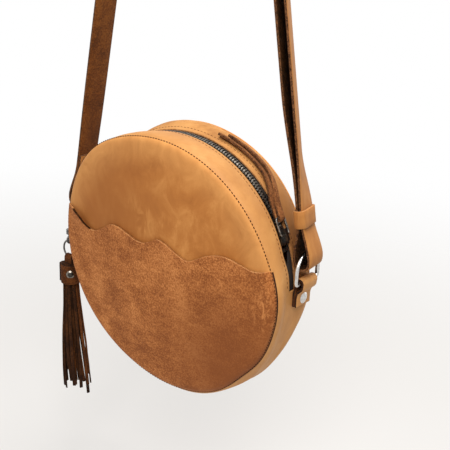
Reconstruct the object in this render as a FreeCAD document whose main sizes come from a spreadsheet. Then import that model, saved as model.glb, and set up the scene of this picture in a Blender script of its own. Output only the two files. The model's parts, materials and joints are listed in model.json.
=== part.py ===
import FreeCAD, Part
import math
import os

import Sketcher

# Round leather crossbody bag with a slip pocket, a metal zip over the top, a long strap and a tassel.
# The origin is where the strap hangs; the bag's own centre lies bag_drop below it.
# The front faces -Y, the right side is +X and up is +Z.

os.makedirs("parts", exist_ok=True)
doc = FreeCAD.newDocument("circle_bag")
Vec = FreeCAD.Vector

# Driving sizes: millimetres, degrees and counts
SIZES = {
    # shell
    "bag_drop": 575.0,
    "bag_radius": 105.0,
    "leather": 2.0,
    "depth": 42.0,
    "lean": 5.5,
    "front_crown": 8.0,
    "rear_crown": 4.0,
    "rear_flat": 60.0,
    "rim_width": 7.0,
    # slip pocket
    "pocket_leather": 1.6,
    "pocket_gape": 2.0,
    "wave_low": 14.0,
    "wave_high": 23.0,
    "wave_pitch": 50.5,
    "wave_rise": 17.0,
    "wave_start": -70.0,
    "pocket_end": 27.0,
    # zip
    "zip_gap": 10.0,
    "zip_end": 3.0,
    "tape_leather": 0.6,
    "tape_width": 12.0,
    "tooth_pitch": 2.4,
    "tooth_thick": 1.0,
    "tooth_half": 3.1,
    "tooth_lap": 0.9,
    "tooth_height": 2.6,
    "tooth_inset": 1.0,
    "chain_start": 28.0,
    "chain_end": 170.0,
    "stop_gap": 1.4,
    "stop_length": 1.4,
    # slider and pull
    "slider_angle": 26.0,
    "slider_half": 3.6,
    "slider_width": 9.0,
    "slider_plate": 1.4,
    "slider_flange": 0.9,
    "slider_play": 0.3,
    "wedge_length": 1.6,
    "nose_side": 1.8,
    "nose_end": 1.2,
    "bridge_height": 3.6,
    "bridge_width": 2.4,
    "bridge_half": 2.4,
    "bridge_bore": 1.0,
    "pull_wire": 1.6,
    "pull_length": 13.0,
    "pull_width": 10.0,
    "pull_corner": 2.2,
    "thong_width": 5.5,
    "thong_thick": 2.0,
    "thong_end": 77.0,
    "thong_tail": 3.0,
    "thong_step": 5.9,
    "thong_side": 13.2,
    "thong_lift": 0.6,
    # tabs, rings and rivets
    "ring_standoff": 5.5,
    "bar_z": 13.0,
    "right_side_y": 10.0,
    "left_side_y": 0.0,
    "ring_wire": 3.2,
    "ring_inside": 25.0,
    "ring_leg": 8.0,
    "ring_corner": 2.6,
    "tab_width": 18.0,
    "tab_end": -6.0,
    "tab_grip": 0.3,
    "tab_inner_bend": 12.0,
    "tab_shoulder": 3.0,
    "tab_shoulder_bend": 7.0,
    "tab_foot": 2.0,
    "tab_foot_bend": 6.0,
    "rivet_z": -0.5,
    "rivet_cap": 9.0,
    "rivet_post": 3.0,
    "rivet_dome": 1.4,
    "plate_share": 0.6,
    "plate_width_share": 0.9,
    # strap
    "strap_width": 22.0,
    "strap_leather": 2.2,
    "strap_gap": 0.3,
    "hang_radius": 20.0,
    "loop_radius": 4.5,
    "loop_length": 24.0,
    "loop_ease": 20.0,
    "right_tail": 300.0,
    "left_tail": 38.0,
    "keeper_height": 12.5,
    "keeper_wall": 1.8,
    "stud_cap": 9.0,
    "stud_post": 4.0,
    "stud_dome": 1.8,
    "stud_inset": 9.0,
    "stud_spacing": 16.0,
    # snap hook and tassel
    "clasp_y": -11.3,
    "clasp_standoff": 5.1,
    "hook_offset": 0.9,
    "clasp_wire": 2.4,
    "clasp_top": 17.4,
    "clasp_tip": 9.0,
    "barrel_top": 1.0,
    "barrel_length": 4.0,
    "barrel_width": 6.4,
    "barrel_floor": 1.2,
    "barrel_room": 1.6,
    "stem_width": 2.0,
    "stem_head": 3.8,
    "guide_width": 3.8,
    "guide_bottom": -1.5,
    "guide_top": 4.5,
    "web_height": 3.0,
    "bolt_width": 2.0,
    "bolt_play": 0.3,
    "bolt_bottom": -2.0,
    "knob_width": 3.4,
    "knob_height": 2.0,
    "eye_radius": 3.0,
    "eye_wire": 2.0,
    "split_radius": 8.0,
    "split_wire": 1.6,
    "loop_strip": 7.0,
    "loop_leather": 1.8,
    "loop_play": 0.7,
    "loop_rise": 0.4,
    "wrap_drop": 8.0,
    "wrap_length": 20.0,
    "wrap_width": 17.0,
    "wrap_wall": 1.6,
    "tassel_cap": 7.0,
    "tassel_rivet_turn": 45.0,
    "fringe_length": 108.0,
    "strand_count": 14,
    "strand_width": 4.2,
    "strand_thick": 1.5,
    "strand_inset": 2.4,
    "strand_drop": 0.6,
    "outer_splay": 4.2,
    "inner_splay": 1.9,
    "head_gap": 0.5,
    "loop_foot": 3.0,
    # clearances
    "seat_gap": 0.1,
    "soft_gap": 0.3,
}

sheet = doc.addObject("Spreadsheet::Sheet", "sizes")
for row, (alias, value) in enumerate(SIZES.items(), start=1):
    sheet.set(f"A{row}", alias)
    sheet.set(f"B{row}", str(value))
    sheet.setAlias(f"B{row}", alias)
doc.recompute()

nodes = []


def size(alias):
    """Value of one cell of the sheet."""
    return float(getattr(sheet, alias))


def bind(item, path, formula):
    """Tie one property of an object to a formula on the sheet's cells."""
    item.setExpression(path, formula)


# Values that several pieces share
drop = size("bag_drop")
radius = size("bag_radius")
leather = size("leather")
seat_gap = size("seat_gap")
soft_gap = size("soft_gap")
slope = math.tan(math.radians(size("lean")))
wall_inside = radius - leather
tape_outside = wall_inside - seat_gap
tooth_top = radius - size("tooth_inset")
tooth_bottom = tooth_top - size("tooth_height")
ring_half = size("ring_inside") / 2
wire_radius = size("ring_wire") / 2
bow_radius = ring_half + wire_radius
bow_z = size("bar_z") + size("ring_leg")
ring_x = radius + size("ring_standoff")
side_step = size("right_side_y") - size("left_side_y")
hang_turn = math.degrees(math.atan2(side_step, 2 * ring_x))
hang_y = (size("right_side_y") + size("left_side_y")) / 2
hang_x = ring_x / math.cos(math.radians(hang_turn))


# Placing and keeping pieces
def keep(part, name):
    """Name a finished piece and put it on the list of nodes."""
    part.Label = name
    nodes.append(part)
    return part


def place_in_bag(part, turn=FreeCAD.Rotation()):
    """Set a piece that is drawn about the bag's centre at its place under the hang point."""
    part.Placement = FreeCAD.Placement(Vec(0, 0, -drop), turn)
    bind(part, "Placement.Base.z", "-sizes.bag_drop")


def settled(shape):
    """The same shape with its moves made part of its geometry."""
    moves = shape.Placement.toMatrix()
    still = shape.copy()
    still.Placement = FreeCAD.Placement()
    still.transformShape(moves, True)
    return still


def bag_feature(name, shape):
    """A piece drawn about the bag's centre."""
    part = doc.addObject("Part::Feature", name)
    part.Shape = settled(shape)
    place_in_bag(part)
    return keep(part, name)


def strap_feature(name, shape):
    """A piece drawn in the strap's own plane, which turns a little to meet both rings."""
    part = doc.addObject("Part::Feature", name)
    part.Shape = settled(shape)
    part.Placement = FreeCAD.Placement(Vec(0, hang_y, -drop), FreeCAD.Rotation(Vec(0, 0, 1), hang_turn))
    bind(part, "Placement.Base.z", "-sizes.bag_drop")
    bind(part, "Placement.Base.y", "(sizes.right_side_y + sizes.left_side_y) / 2")
    return keep(part, name)


# Flat paths with rounded corners, and the strips and wires that follow them
def rounded(points, closed=False):
    """Lines and arcs through points (x, z, corner radius), as (start, middle or None, end)."""
    count = len(points)
    flat = [Vec(p[0], 0, p[1]) for p in points]
    cuts = []
    for i in range(count):
        corner = closed or 0 < i < count - 1
        if not corner:
            cuts.append((flat[i], None, flat[i]))
            continue
        back = (flat[i - 1] - flat[i]).normalize()
        ahead = (flat[(i + 1) % count] - flat[i]).normalize()
        half = back.getAngle(ahead) / 2
        reach = points[i][2] / math.tan(half)
        middle_way = (back + ahead).normalize()
        middle = flat[i] + middle_way * (points[i][2] / math.sin(half) - points[i][2])
        cuts.append((flat[i] + back * reach, middle, flat[i] + ahead * reach))
    pieces = []
    for i in range(count):
        start, middle, end = cuts[i]
        if middle is not None:
            pieces.append((start, middle, end))
        following = cuts[(i + 1) % count][0]
        last = i == count - 1 and not closed
        if not last and end.distanceToPoint(following) > 1e-6:
            pieces.append((end, None, following))
    return pieces


def edge_of(piece):
    """Edge of one line or arc."""
    start, middle, end = piece
    if middle is None:
        return Part.LineSegment(start, end).toShape()
    return Part.Arc(start, middle, end).toShape()


def shifted(pieces, offset):
    """The same lines and arcs, moved sideways in their plane by offset."""
    side = Vec(0, 1, 0)
    out = []
    for start, middle, end in pieces:
        if middle is None:
            normal = side.cross(end - start).normalize() * offset
            out.append((start + normal, None, end + normal))
            continue
        centre = Part.Arc(start, middle, end).toShape().Curve.Center
        turn = (middle - start).cross(end - middle).dot(side)
        sign = 1 if turn < 0 else -1
        moved = [centre + (p - centre) * (1 + sign * offset / (p - centre).Length) for p in (start, middle, end)]
        out.append(tuple(moved))
    return out


def strip(points, thickness, width, middle_y=0.0):
    """Leather strip of even thickness along a path in the XZ plane, its width along Y."""
    path = rounded(points)
    one = shifted(path, thickness / 2)
    other = shifted(path, -thickness / 2)
    edges = [edge_of(p) for p in one]
    edges.append(Part.LineSegment(one[-1][2], other[-1][2]).toShape())
    edges += [edge_of(p) for p in reversed(other)]
    edges.append(Part.LineSegment(other[0][0], one[0][0]).toShape())
    face = Part.Face(Part.Wire(Part.__sortEdges__(edges)))
    solid = face.extrude(Vec(0, width, 0))
    solid.translate(Vec(0, middle_y - width / 2, 0))
    return solid


def bent_wire(points, diameter, closed=False):
    """Round wire along a path in the XZ plane."""
    path = rounded(points, closed)
    spine = Part.Wire([edge_of(p) for p in path])
    start, _, end = path[0]
    tangent = spine.Edges[0].tangentAt(spine.Edges[0].FirstParameter)
    profile = Part.Wire(Part.Circle(start, tangent, diameter / 2).toShape())
    return spine.makePipeShell([profile], True, False)


def arc_block(inner, outer, low_y, high_y, start, end):
    """Block that follows the bag's side between two radii, two depths and two angles."""
    base = Vec(0, 0, -high_y)
    solid = Part.makeCylinder(outer, high_y - low_y, base, Vec(0, 0, 1), end - start)
    core = Part.makeCylinder(inner, high_y - low_y, base, Vec(0, 0, 1), end - start)
    block = solid.cut(core)
    block.rotate(Vec(0, 0, 0), Vec(1, 0, 0), 90)
    block.rotate(Vec(0, 0, 0), Vec(0, -1, 0), start)
    return block


def pin(diameter, start, end):
    """Round pin from one point to another."""
    along = end - start
    return Part.makeCylinder(diameter / 2, along.Length, start, along)


def dome_rivet(cap, dome, post, grip):
    """Rivet along +X: back plate, post through grip millimetres of leather, domed cap."""
    plate = dome * size("plate_share")
    back = cap / 2 * size("plate_width_share")
    outline = [Vec(-plate, 0, 0), Vec(-plate, 0, back), Vec(0, 0, back), Vec(0, 0, post / 2)]
    outline += [Vec(grip, 0, post / 2), Vec(grip, 0, cap / 2)]
    edges = [Part.LineSegment(a, b).toShape() for a, b in zip(outline, outline[1:])]
    rim = outline[-1]
    crown = Vec(grip + dome, 0, 0)
    bulge = (dome**2 + (cap / 2) ** 2) / (2 * dome)
    half = math.asin(cap / 2 / bulge) / 2
    middle = Vec(grip + dome - bulge + bulge * math.cos(half), 0, bulge * math.sin(half))
    edges.append(Part.Arc(rim, middle, crown).toShape())
    edges.append(Part.LineSegment(crown, outline[0]).toShape())
    return Part.Face(Part.Wire(edges)).revolve(Vec(0, 0, 0), Vec(1, 0, 0), 360)


# Bodies and sketches
def new_body(name):
    """Body with its own sketches and features."""
    body = doc.addObject("PartDesign::Body", name)
    return keep(body, name)


def sketch_on(body, role, name):
    """Empty sketch on one of the body's origin planes."""
    sketch = body.newObject("Sketcher::SketchObject", name)
    plane = next(f for f in body.Origin.OriginFeatures if f.Role == role)
    sketch.AttachmentSupport = [(plane, "")]
    sketch.MapMode = "FlatFace"
    return sketch


def draw(sketch, curves):
    """Add a closed run of curves to a sketch, joined end to end."""
    first = sketch.GeometryCount
    for curve in curves:
        sketch.addGeometry(curve, False)
    count = len(curves)
    for i in range(count):
        here, following = first + i, first + (i + 1) % count
        for one, two in ((2, 1), (2, 2), (1, 1), (1, 2)):
            if sketch.getPoint(here, one).distanceToPoint(sketch.getPoint(following, two)) < 1e-6:
                sketch.addConstraint(Sketcher.Constraint("Coincident", here, one, following, two))
                break


def dimension(sketch, constraint, name, formula):
    """Add a named size to a sketch and tie it to the sheet."""
    index = sketch.addConstraint(constraint)
    sketch.renameConstraint(index, name)
    bind(sketch, f"Constraints.{name}", formula)


def polygon(points):
    """Closed run of lines through flat points."""
    flat = [Vec(x, y, 0) for x, y in points]
    return [Part.LineSegment(a, b) for a, b in zip(flat, flat[1:] + flat[:1])]


def sector_sketch(body, inner, outer, start, end, inner_formula, outer_formula):
    """Sketch of a ring sector on the body's XZ plane, with its two radii on the sheet."""
    sketch = sketch_on(body, "XZ_Plane", body.Name + "_ring")
    low, high = math.radians(start), math.radians(end)

    def at(r, angle):
        return Vec(r * math.cos(angle), r * math.sin(angle), 0)

    axis = Vec(0, 0, 1)
    big = Part.ArcOfCircle(Part.Circle(Vec(0, 0, 0), axis, outer), low, high)
    small = Part.ArcOfCircle(Part.Circle(Vec(0, 0, 0), axis, inner), low, high)
    sketch.addGeometry(big, False)
    sketch.addGeometry(Part.LineSegment(at(outer, high), at(inner, high)), False)
    sketch.addGeometry(small, False)
    sketch.addGeometry(Part.LineSegment(at(inner, low), at(outer, low)), False)
    for one, two in (((0, 2), (1, 1)), ((1, 2), (2, 2)), ((2, 1), (3, 1)), ((3, 2), (0, 1))):
        sketch.addConstraint(Sketcher.Constraint("Coincident", *one, *two))
    sketch.addConstraint(Sketcher.Constraint("Coincident", 0, 3, -1, 1))
    sketch.addConstraint(Sketcher.Constraint("Coincident", 2, 3, -1, 1))
    dimension(sketch, Sketcher.Constraint("Radius", 0, outer), "outside", outer_formula)
    dimension(sketch, Sketcher.Constraint("Radius", 2, inner), "inside", inner_formula)
    return sketch


def trim_to_panel(body, front, clearance=0.0):
    """Cut a side piece along the leaning plane of the front or the rear panel."""
    sign = -1 if front else 1
    sketch = sketch_on(body, "YZ_Plane", body.Name + ("_front_trim" if front else "_rear_trim"))
    reach = 2 * radius
    half = size("depth") / 2 - clearance
    low = (sign * (half - slope * reach), -reach)
    high = (sign * (half + slope * reach), reach)
    draw(sketch, polygon([low, high, (sign * 2 * reach, reach), (sign * 2 * reach, -reach)]))
    cut = body.newObject("PartDesign::Pocket", body.Name + ("_front_cut" if front else "_rear_cut"))
    cut.Profile = sketch
    cut.Type = "ThroughAll"
    cut.Midplane = True
    body.Tip = cut
    return cut


# Front and rear panels, and the pocket
def dome_profile(body, rim, seam, crown, thickness, base, flat=0.0):
    """Half section of a domed leather disc: flat sewn seam at the rim, crowned middle, even thickness."""
    sketch = sketch_on(body, "XZ_Plane", body.Name + "_section")
    inside = rim - seam

    def arc(from_r, low, to_r, high):
        span = from_r - to_r
        bend = (span**2 + (high - low) ** 2) / (2 * (high - low))
        middle = span / 2
        rise = high - bend + math.sqrt(bend**2 - middle**2)
        return Part.Arc(Vec(from_r, low, 0), Vec(to_r + middle, rise, 0), Vec(to_r, high, 0))

    top = base + thickness
    curves = [Part.LineSegment(Vec(rim, base, 0), Vec(rim, top, 0)), arc(rim, top, flat, top + crown)]
    if flat:
        curves.append(Part.LineSegment(Vec(flat, top + crown, 0), Vec(0, top + crown, 0)))
    curves.append(Part.LineSegment(Vec(0, top + crown, 0), Vec(0, base + crown, 0)))
    if flat:
        curves.append(Part.LineSegment(Vec(0, base + crown, 0), Vec(flat, base + crown, 0)))
    inner = arc(inside, base, flat, base + crown)
    curves.append(Part.Arc(inner.EndPoint, inner.value((inner.FirstParameter + inner.LastParameter) / 2),
                           inner.StartPoint))
    if seam:
        curves.append(Part.LineSegment(Vec(inside, base, 0), Vec(rim, base, 0)))
    draw(sketch, curves)
    turn = body.newObject("PartDesign::Revolution", body.Name + "_disc")
    turn.Profile = sketch
    turn.ReferenceAxis = (sketch, ["V_Axis"])
    turn.Angle = 360
    body.Tip = turn
    return turn


def place_panel(body, front):
    """Stand a disc that is drawn face up at the bag's front or rear, leaning with its seam."""
    sign = 1 if front else -1
    tilt = sign * (90 + size("lean"))
    centre = Vec(0, -sign * size("depth") / 2, -drop)
    body.Placement = FreeCAD.Placement(centre, FreeCAD.Rotation(Vec(1, 0, 0), tilt))
    bind(body, "Placement.Base.z", "-sizes.bag_drop")
    bind(body, "Placement.Base.y", f"{-sign} * sizes.depth / 2")


def make_front_panel():
    body = new_body("front_panel")
    dome_profile(body, radius, size("rim_width"), size("front_crown"), leather, 0.0)
    place_panel(body, True)


def make_rear_panel():
    body = new_body("rear_panel")
    dome_profile(body, radius, size("rim_width"), size("rear_crown"), leather, 0.0, size("rear_flat"))
    place_panel(body, False)


def wave_points():
    """Trough and crest points of the pocket's top edge, from one rim to the other."""
    points = [Vec(-radius, size("pocket_end"), 0)]
    x = size("wave_start")
    while x < radius - size("wave_rise"):
        points.append(Vec(x, size("wave_low"), 0))
        points.append(Vec(x + size("wave_rise"), size("wave_high"), 0))
        x += size("wave_pitch")
    points[-1] = Vec(radius, size("pocket_end"), 0)
    return points


def make_front_pocket():
    body = new_body("front_pocket")
    base = leather + seat_gap
    crown = size("front_crown") + size("pocket_gape")
    dome_profile(body, radius, 0.0, crown, size("pocket_leather"), base)
    sketch = sketch_on(body, "XY_Plane", "front_pocket_wave")
    points = wave_points()
    wave = Part.BSplineCurve()
    wave.interpolate(points)
    high = 2 * radius
    corners = [points[-1], Vec(radius, high, 0), Vec(-radius, high, 0), points[0]]
    draw(sketch, [wave] + [Part.LineSegment(a, b) for a, b in zip(corners, corners[1:])])
    cut = body.newObject("PartDesign::Pocket", "front_pocket_mouth")
    cut.Profile = sketch
    cut.Type = "ThroughAll"
    cut.Midplane = True
    body.Tip = cut
    place_panel(body, True)


# Side wall: two plackets beside the zip and the lower gusset
def make_placket(name, front):
    body = new_body(name)
    sketch = sector_sketch(body, wall_inside, radius, size("zip_end"), 180 - size("zip_end"),
                           "sizes.bag_radius - sizes.leather", "sizes.bag_radius")
    offset = size("zip_gap") / 2 * (1 if front else -1)
    sketch.AttachmentOffset = FreeCAD.Placement(Vec(0, 0, offset), FreeCAD.Rotation())
    bind(sketch, "AttachmentOffset.Base.z", ("" if front else "-") + "sizes.zip_gap / 2")
    pad = body.newObject("PartDesign::Pad", name + "_strip")
    pad.Profile = sketch
    pad.Reversed = not front
    bind(pad, "Length", "sizes.depth")
    body.Tip = pad
    doc.recompute()
    trim_to_panel(body, front)
    place_in_bag(body)


def rivet_hole(body, name, y, right):
    """Hole for a tab rivet through one side of the gusset."""
    sketch = sketch_on(body, "YZ_Plane", name + "_sketch")
    hole = Part.Circle(Vec(y, size("rivet_z"), 0), Vec(0, 0, 1), size("rivet_post") / 2 + seat_gap)
    sketch.addGeometry(hole, False)
    dimension(sketch, Sketcher.Constraint("Radius", 0, hole.Radius), "bore", "sizes.rivet_post / 2 + sizes.seat_gap")
    cut = body.newObject("PartDesign::Pocket", name)
    cut.Profile = sketch
    cut.Type = "ThroughAll"
    cut.Reversed = right
    body.Tip = cut


def make_bottom_gusset():
    body = new_body("bottom_gusset")
    sketch = sector_sketch(body, wall_inside, radius, 180 - size("zip_end"), 360 + size("zip_end"),
                           "sizes.bag_radius - sizes.leather", "sizes.bag_radius")
    pad = body.newObject("PartDesign::Pad", "bottom_gusset_strip")
    pad.Profile = sketch
    pad.Midplane = True
    bind(pad, "Length", "2 * sizes.depth")
    body.Tip = pad
    doc.recompute()
    trim_to_panel(body, True)
    trim_to_panel(body, False)
    rivet_hole(body, "right_rivet_hole", size("right_side_y"), True)
    rivet_hole(body, "left_rivet_hole", size("left_side_y"), False)
    place_in_bag(body)


# Zip chain
def make_tape(name, front):
    body = new_body(name)
    inner = tape_outside - size("tape_leather")
    sketch = sector_sketch(body, inner, tape_outside, size("zip_end"), 180 - size("zip_end"),
                           "sizes.bag_radius - sizes.leather - sizes.seat_gap - sizes.tape_leather",
                           "sizes.bag_radius - sizes.leather - sizes.seat_gap")
    offset = (size("tooth_half") + seat_gap) * (1 if front else -1)
    sketch.AttachmentOffset = FreeCAD.Placement(Vec(0, 0, offset), FreeCAD.Rotation())
    bind(sketch, "AttachmentOffset.Base.z", ("" if front else "-") + "(sizes.tooth_half + sizes.seat_gap)")
    pad = body.newObject("PartDesign::Pad", name + "_strip")
    pad.Profile = sketch
    pad.Reversed = not front
    bind(pad, "Length", "sizes.tape_width")
    body.Tip = pad
    place_in_bag(body)


def tooth(front):
    """One zip tooth at angle 0: a block clamped at the tape's edge with a tapered nose across the middle."""
    side = -1 if front else 1
    heel = side * size("tooth_half")
    nose = -side * size("tooth_lap")
    neck = side * size("tooth_lap")
    chamfer = size("tooth_height") / 5
    outline = [(tooth_bottom, heel), (tooth_bottom, neck), (tooth_bottom + chamfer, nose)]
    outline += [(tooth_top - chamfer, nose), (tooth_top, neck), (tooth_top, heel)]
    thick = size("tooth_thick")
    wire = Part.makePolygon([Vec(r, y, -thick / 2) for r, y in outline + outline[:1]])
    return Part.Face(wire).extrude(Vec(0, 0, thick))


def make_teeth(name, front):
    step = math.degrees(size("tooth_pitch") / tooth_top)
    one = tooth(front)
    angle = size("chain_start") + (0 if front else step / 2)
    solids = []
    while angle < size("chain_end"):
        copy = one.copy()
        copy.rotate(Vec(0, 0, 0), Vec(0, -1, 0), angle)
        solids.append(copy)
        angle += step
    bag_feature(name, Part.makeCompound(solids))


def make_stops():
    """Two top stops beside the slider's nose and one bottom stop across both tapes."""
    half = size("tooth_half")
    lap = size("tooth_lap")
    gap, length = size("stop_gap"), size("stop_length")
    nose = size("slider_angle") - size("slider_half") - gap
    solids = []
    for side in (-1, 1):
        low, high = sorted((side * lap, side * half))
        solids.append(arc_block(tooth_bottom, tooth_top, low, high, nose - length, nose))
    tail = size("chain_end") + gap
    solids.append(arc_block(tooth_bottom, tooth_top, -half, half, tail, tail + length))
    bag_feature("zip_stops", Part.makeCompound(solids))


# Slider, pull ring and thong
slider_floor = tooth_bottom - size("slider_play")
slider_roof = tooth_top + size("slider_play")
slider_top = slider_roof + size("slider_plate")
bridge_radius = slider_top + size("bridge_height") / 2 - size("pull_wire") / 4


def make_slider():
    """Slider with two flanged plates round the chain, a dividing wedge at its nose and a bridge on top."""
    angle = size("slider_angle")
    half_angle = size("slider_half")
    half = size("slider_width") / 2
    flange = size("slider_flange")
    low, high = angle - half_angle, angle + half_angle
    shape = arc_block(slider_roof, slider_top, -half, half, low, high)
    floor = slider_floor - size("slider_plate")
    shape = shape.fuse(arc_block(floor, slider_floor, -half, half, low, high))
    tape_inside = tape_outside - size("tape_leather")
    for side in (-1, 1):
        one, two = sorted((side * half, side * (half - flange)))
        shape = shape.fuse(arc_block(tape_outside + soft_gap, slider_roof, one, two, low, high))
        shape = shape.fuse(arc_block(slider_floor, tape_inside - soft_gap, one, two, low, high))
    wedge = size("tooth_lap")
    shape = shape.fuse(arc_block(slider_floor, slider_roof, -wedge, wedge, low, low + size("wedge_length")))
    post = size("bridge_width") / 2
    ends = angle - size("bridge_half"), angle + size("bridge_half")
    bridge = arc_block(slider_top, slider_top + size("bridge_height"), -post, post, *ends)
    shape = shape.fuse(bridge).removeSplitter()
    eye = Vec(bridge_radius * math.cos(math.radians(angle)), 0, bridge_radius * math.sin(math.radians(angle)))
    shape = shape.cut(pin(2 * size("bridge_bore"), eye - Vec(0, half, 0), eye + Vec(0, half, 0)))
    for side in (-1, 1):
        one, two = sorted((side * (half - size("nose_side")), side * 2 * half))
        nose = arc_block(floor - leather, slider_top + leather, one, two, high - size("nose_end"), high + half_angle)
        shape = shape.cut(nose)
    bag_feature("slider_body", shape)


def slider_frame(shape):
    """Turn a shape drawn at the slider's eye, along -X and up Z, to its place on the side wall."""
    angle = size("slider_angle")
    eye = Vec(bridge_radius * math.cos(math.radians(angle)), 0, bridge_radius * math.sin(math.radians(angle)))
    place = FreeCAD.Placement(eye, FreeCAD.Rotation(Vec(0, 1, 0), 90 - angle))
    shape.Placement = place.multiply(shape.Placement)
    return shape


def make_pull_ring():
    """Flat wire ring through the slider's bridge."""
    length = size("pull_length")
    half = size("pull_width") / 2
    corner = size("pull_corner")
    points = [(0, -half, corner), (0, half, corner), (-length, half, corner), (-length, -half, corner)]
    wire = bent_wire(points, size("pull_wire"), closed=True)
    wire.rotate(Vec(0, 0, 0), Vec(1, 0, 0), -90)
    bag_feature("pull_ring", slider_frame(wire))


def thong_section(angle, lift, side):
    """Cross section of one thong tail at an angle round the bag, a lift over the side wall and a depth."""
    half_w, half_t = size("thong_width") / 2, size("thong_thick") / 2
    turn = math.radians(angle)
    out = Vec(math.cos(turn), 0, math.sin(turn))
    centre = out * (radius + lift) + Vec(0, side, 0)
    across = Vec(0, half_w, 0)
    corners = [centre + out * a * half_t + across * b for a, b in ((-1, -1), (1, -1), (1, 1), (-1, 1))]
    return Part.makePolygon(corners + corners[:1])


def make_thong():
    """Leather thong folded through the pull ring, with two tails that lie along the rear of the side wall."""
    thick = size("thong_thick")
    bar = size("pull_length")
    bar_radius = math.hypot(bridge_radius, bar)
    bar_angle = size("slider_angle") + math.degrees(math.atan2(bar, bridge_radius))
    fold = size("pull_wire") / 2 + seat_gap + thick / 2
    lift = bar_radius - radius
    rest = size("thong_lift") + thick / 2
    tails = []
    for step, start_lift in ((0, lift - fold), (1, lift + fold)):
        side = size("thong_side") + step * size("thong_step")
        first = bar_angle
        down = first + 2 * size("thong_tail")
        out = down + 4 * size("thong_tail")
        stations = [(first, start_lift, 0.0), (down, rest, step * size("thong_step"))]
        stations.append((out, rest, side))
        count = 5
        last = size("thong_end") - step * size("thong_tail")
        for i in range(1, count + 1):
            stations.append((out + (last - out) * i / count, rest, side))
        sections = [thong_section(*station) for station in stations]
        tails.append(Part.makeLoft(sections, True, True))
    bend = arc_fold(bar_angle, bar_radius, fold, thick)
    bag_feature("pull_thong", tails[0].fuse(tails[1]).fuse(bend).removeSplitter())


def arc_fold(angle, distance, fold, thick):
    """Half ring of leather round the end of the pull ring."""
    half_width = size("thong_width") / 2
    half = arc_block(fold - thick / 2, fold + thick / 2, -half_width, half_width, angle + 180, angle + 360)
    turn = math.radians(angle)
    half.translate(Vec(distance * math.cos(turn), 0, distance * math.sin(turn)))
    return half


# Tabs, rings and tab rivets, one set on each side
def turned_left(shape):
    """The left side's copy of a shape drawn on the right, the same front and back."""
    shape.rotate(Vec(0, 0, 0), Vec(0, 0, 1), 180)
    return shape


tab_inner_x = radius + soft_gap + leather / 2
tab_outer_x = tab_inner_x + leather + seat_gap


def tab_shape():
    """Leather strip folded round the ring's bar, its two ends one on the other on the side wall."""
    bar_x, bar_z = ring_x, size("bar_z")
    grip = wire_radius + size("tab_grip") + leather / 2
    top = bar_z + grip
    bend = grip - seat_gap
    points = [(tab_inner_x, size("tab_end"), 0), (tab_inner_x, 0, size("tab_inner_bend"))]
    points += [(bar_x - grip, top, bend), (bar_x + grip, top, bend)]
    points.append((bar_x + grip, bar_z - size("tab_shoulder"), size("tab_shoulder_bend")))
    points.append((tab_outer_x, size("tab_foot"), size("tab_foot_bend")))
    points.append((tab_outer_x, size("tab_end"), 0))
    return strip(points, leather, size("tab_width"))


def make_tab(name, rivet_name, side_y, right):
    rivet_z = size("rivet_z")
    hole = pin(size("rivet_post") + 2 * seat_gap, Vec(wall_inside, 0, rivet_z), Vec(2 * radius, 0, rivet_z))
    shape = tab_shape().cut(hole)
    plate_x = wall_inside - 2 * seat_gap
    grip = tab_outer_x + leather / 2 + seat_gap - plate_x
    rivet = dome_rivet(size("rivet_cap"), size("rivet_dome"), size("rivet_post"), grip)
    rivet.translate(Vec(plate_x, 0, rivet_z))
    for piece, label in ((shape, name), (rivet, rivet_name)):
        if not right:
            piece = turned_left(piece)
        piece.translate(Vec(0, side_y, 0))
        bag_feature(label, piece)


def make_ring(name, side_y, right):
    """D-ring: straight bar in the tab, short legs and a round bow."""
    bar_z = size("bar_z")
    corner = size("ring_corner")
    top = bow_z + bow_radius
    points = [(-bow_radius, bar_z, corner), (-bow_radius, top, bow_radius)]
    points += [(bow_radius, top, bow_radius), (bow_radius, bar_z, corner)]
    shape = bent_wire(points, size("ring_wire"), closed=True)
    shape.rotate(Vec(0, 0, 0), Vec(0, 0, 1), 90)
    shape.translate(Vec(ring_x * (1 if right else -1), side_y, 0))
    bag_feature(name, shape)


# Strap, its keeper and its studs, drawn in the strap's own plane
strap_t = size("strap_leather")
strap_mid = (size("strap_gap") + strap_t) / 2
bow_inside = math.sqrt(ring_half**2 - (size("strap_width") / 2) ** 2)
loop_z = bow_z + bow_inside - 2 * soft_gap + size("loop_radius")
hang_z = drop - size("hang_radius")
hang_mid = size("hang_radius") + strap_t / 2
hang_reach = math.hypot(hang_x, hang_z - loop_z)
strap_lean = math.acos((hang_mid - strap_mid) / hang_reach) - math.atan2(hang_z - loop_z, hang_x)


def on_strap(along, out):
    """Point of the right leg: distance up the leg from the loop's centre, and out from its middle."""
    x = hang_x - along * math.sin(strap_lean) + out * math.cos(strap_lean)
    z = loop_z + along * math.cos(strap_lean) + out * math.sin(strap_lean)
    return x, z


def leg_points(tail):
    """Right leg from the end of its inner tail, round the ring's loop and up the outer layer."""
    bend = size("loop_radius") + strap_t / 2
    length = size("loop_length")
    points = [(*on_strap(tail, -strap_mid), 0), (*on_strap(length, -strap_mid), size("loop_ease"))]
    spread = math.asin(bend / math.hypot(length, strap_mid)) - math.atan2(strap_mid, length)
    wide = bend / math.cos(spread) + bend * math.tan(spread)
    points += [(*on_strap(-bend, -wide), bend), (*on_strap(-bend, wide), bend)]
    points.append((*on_strap(length, strap_mid), size("loop_ease")))
    return points


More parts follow.
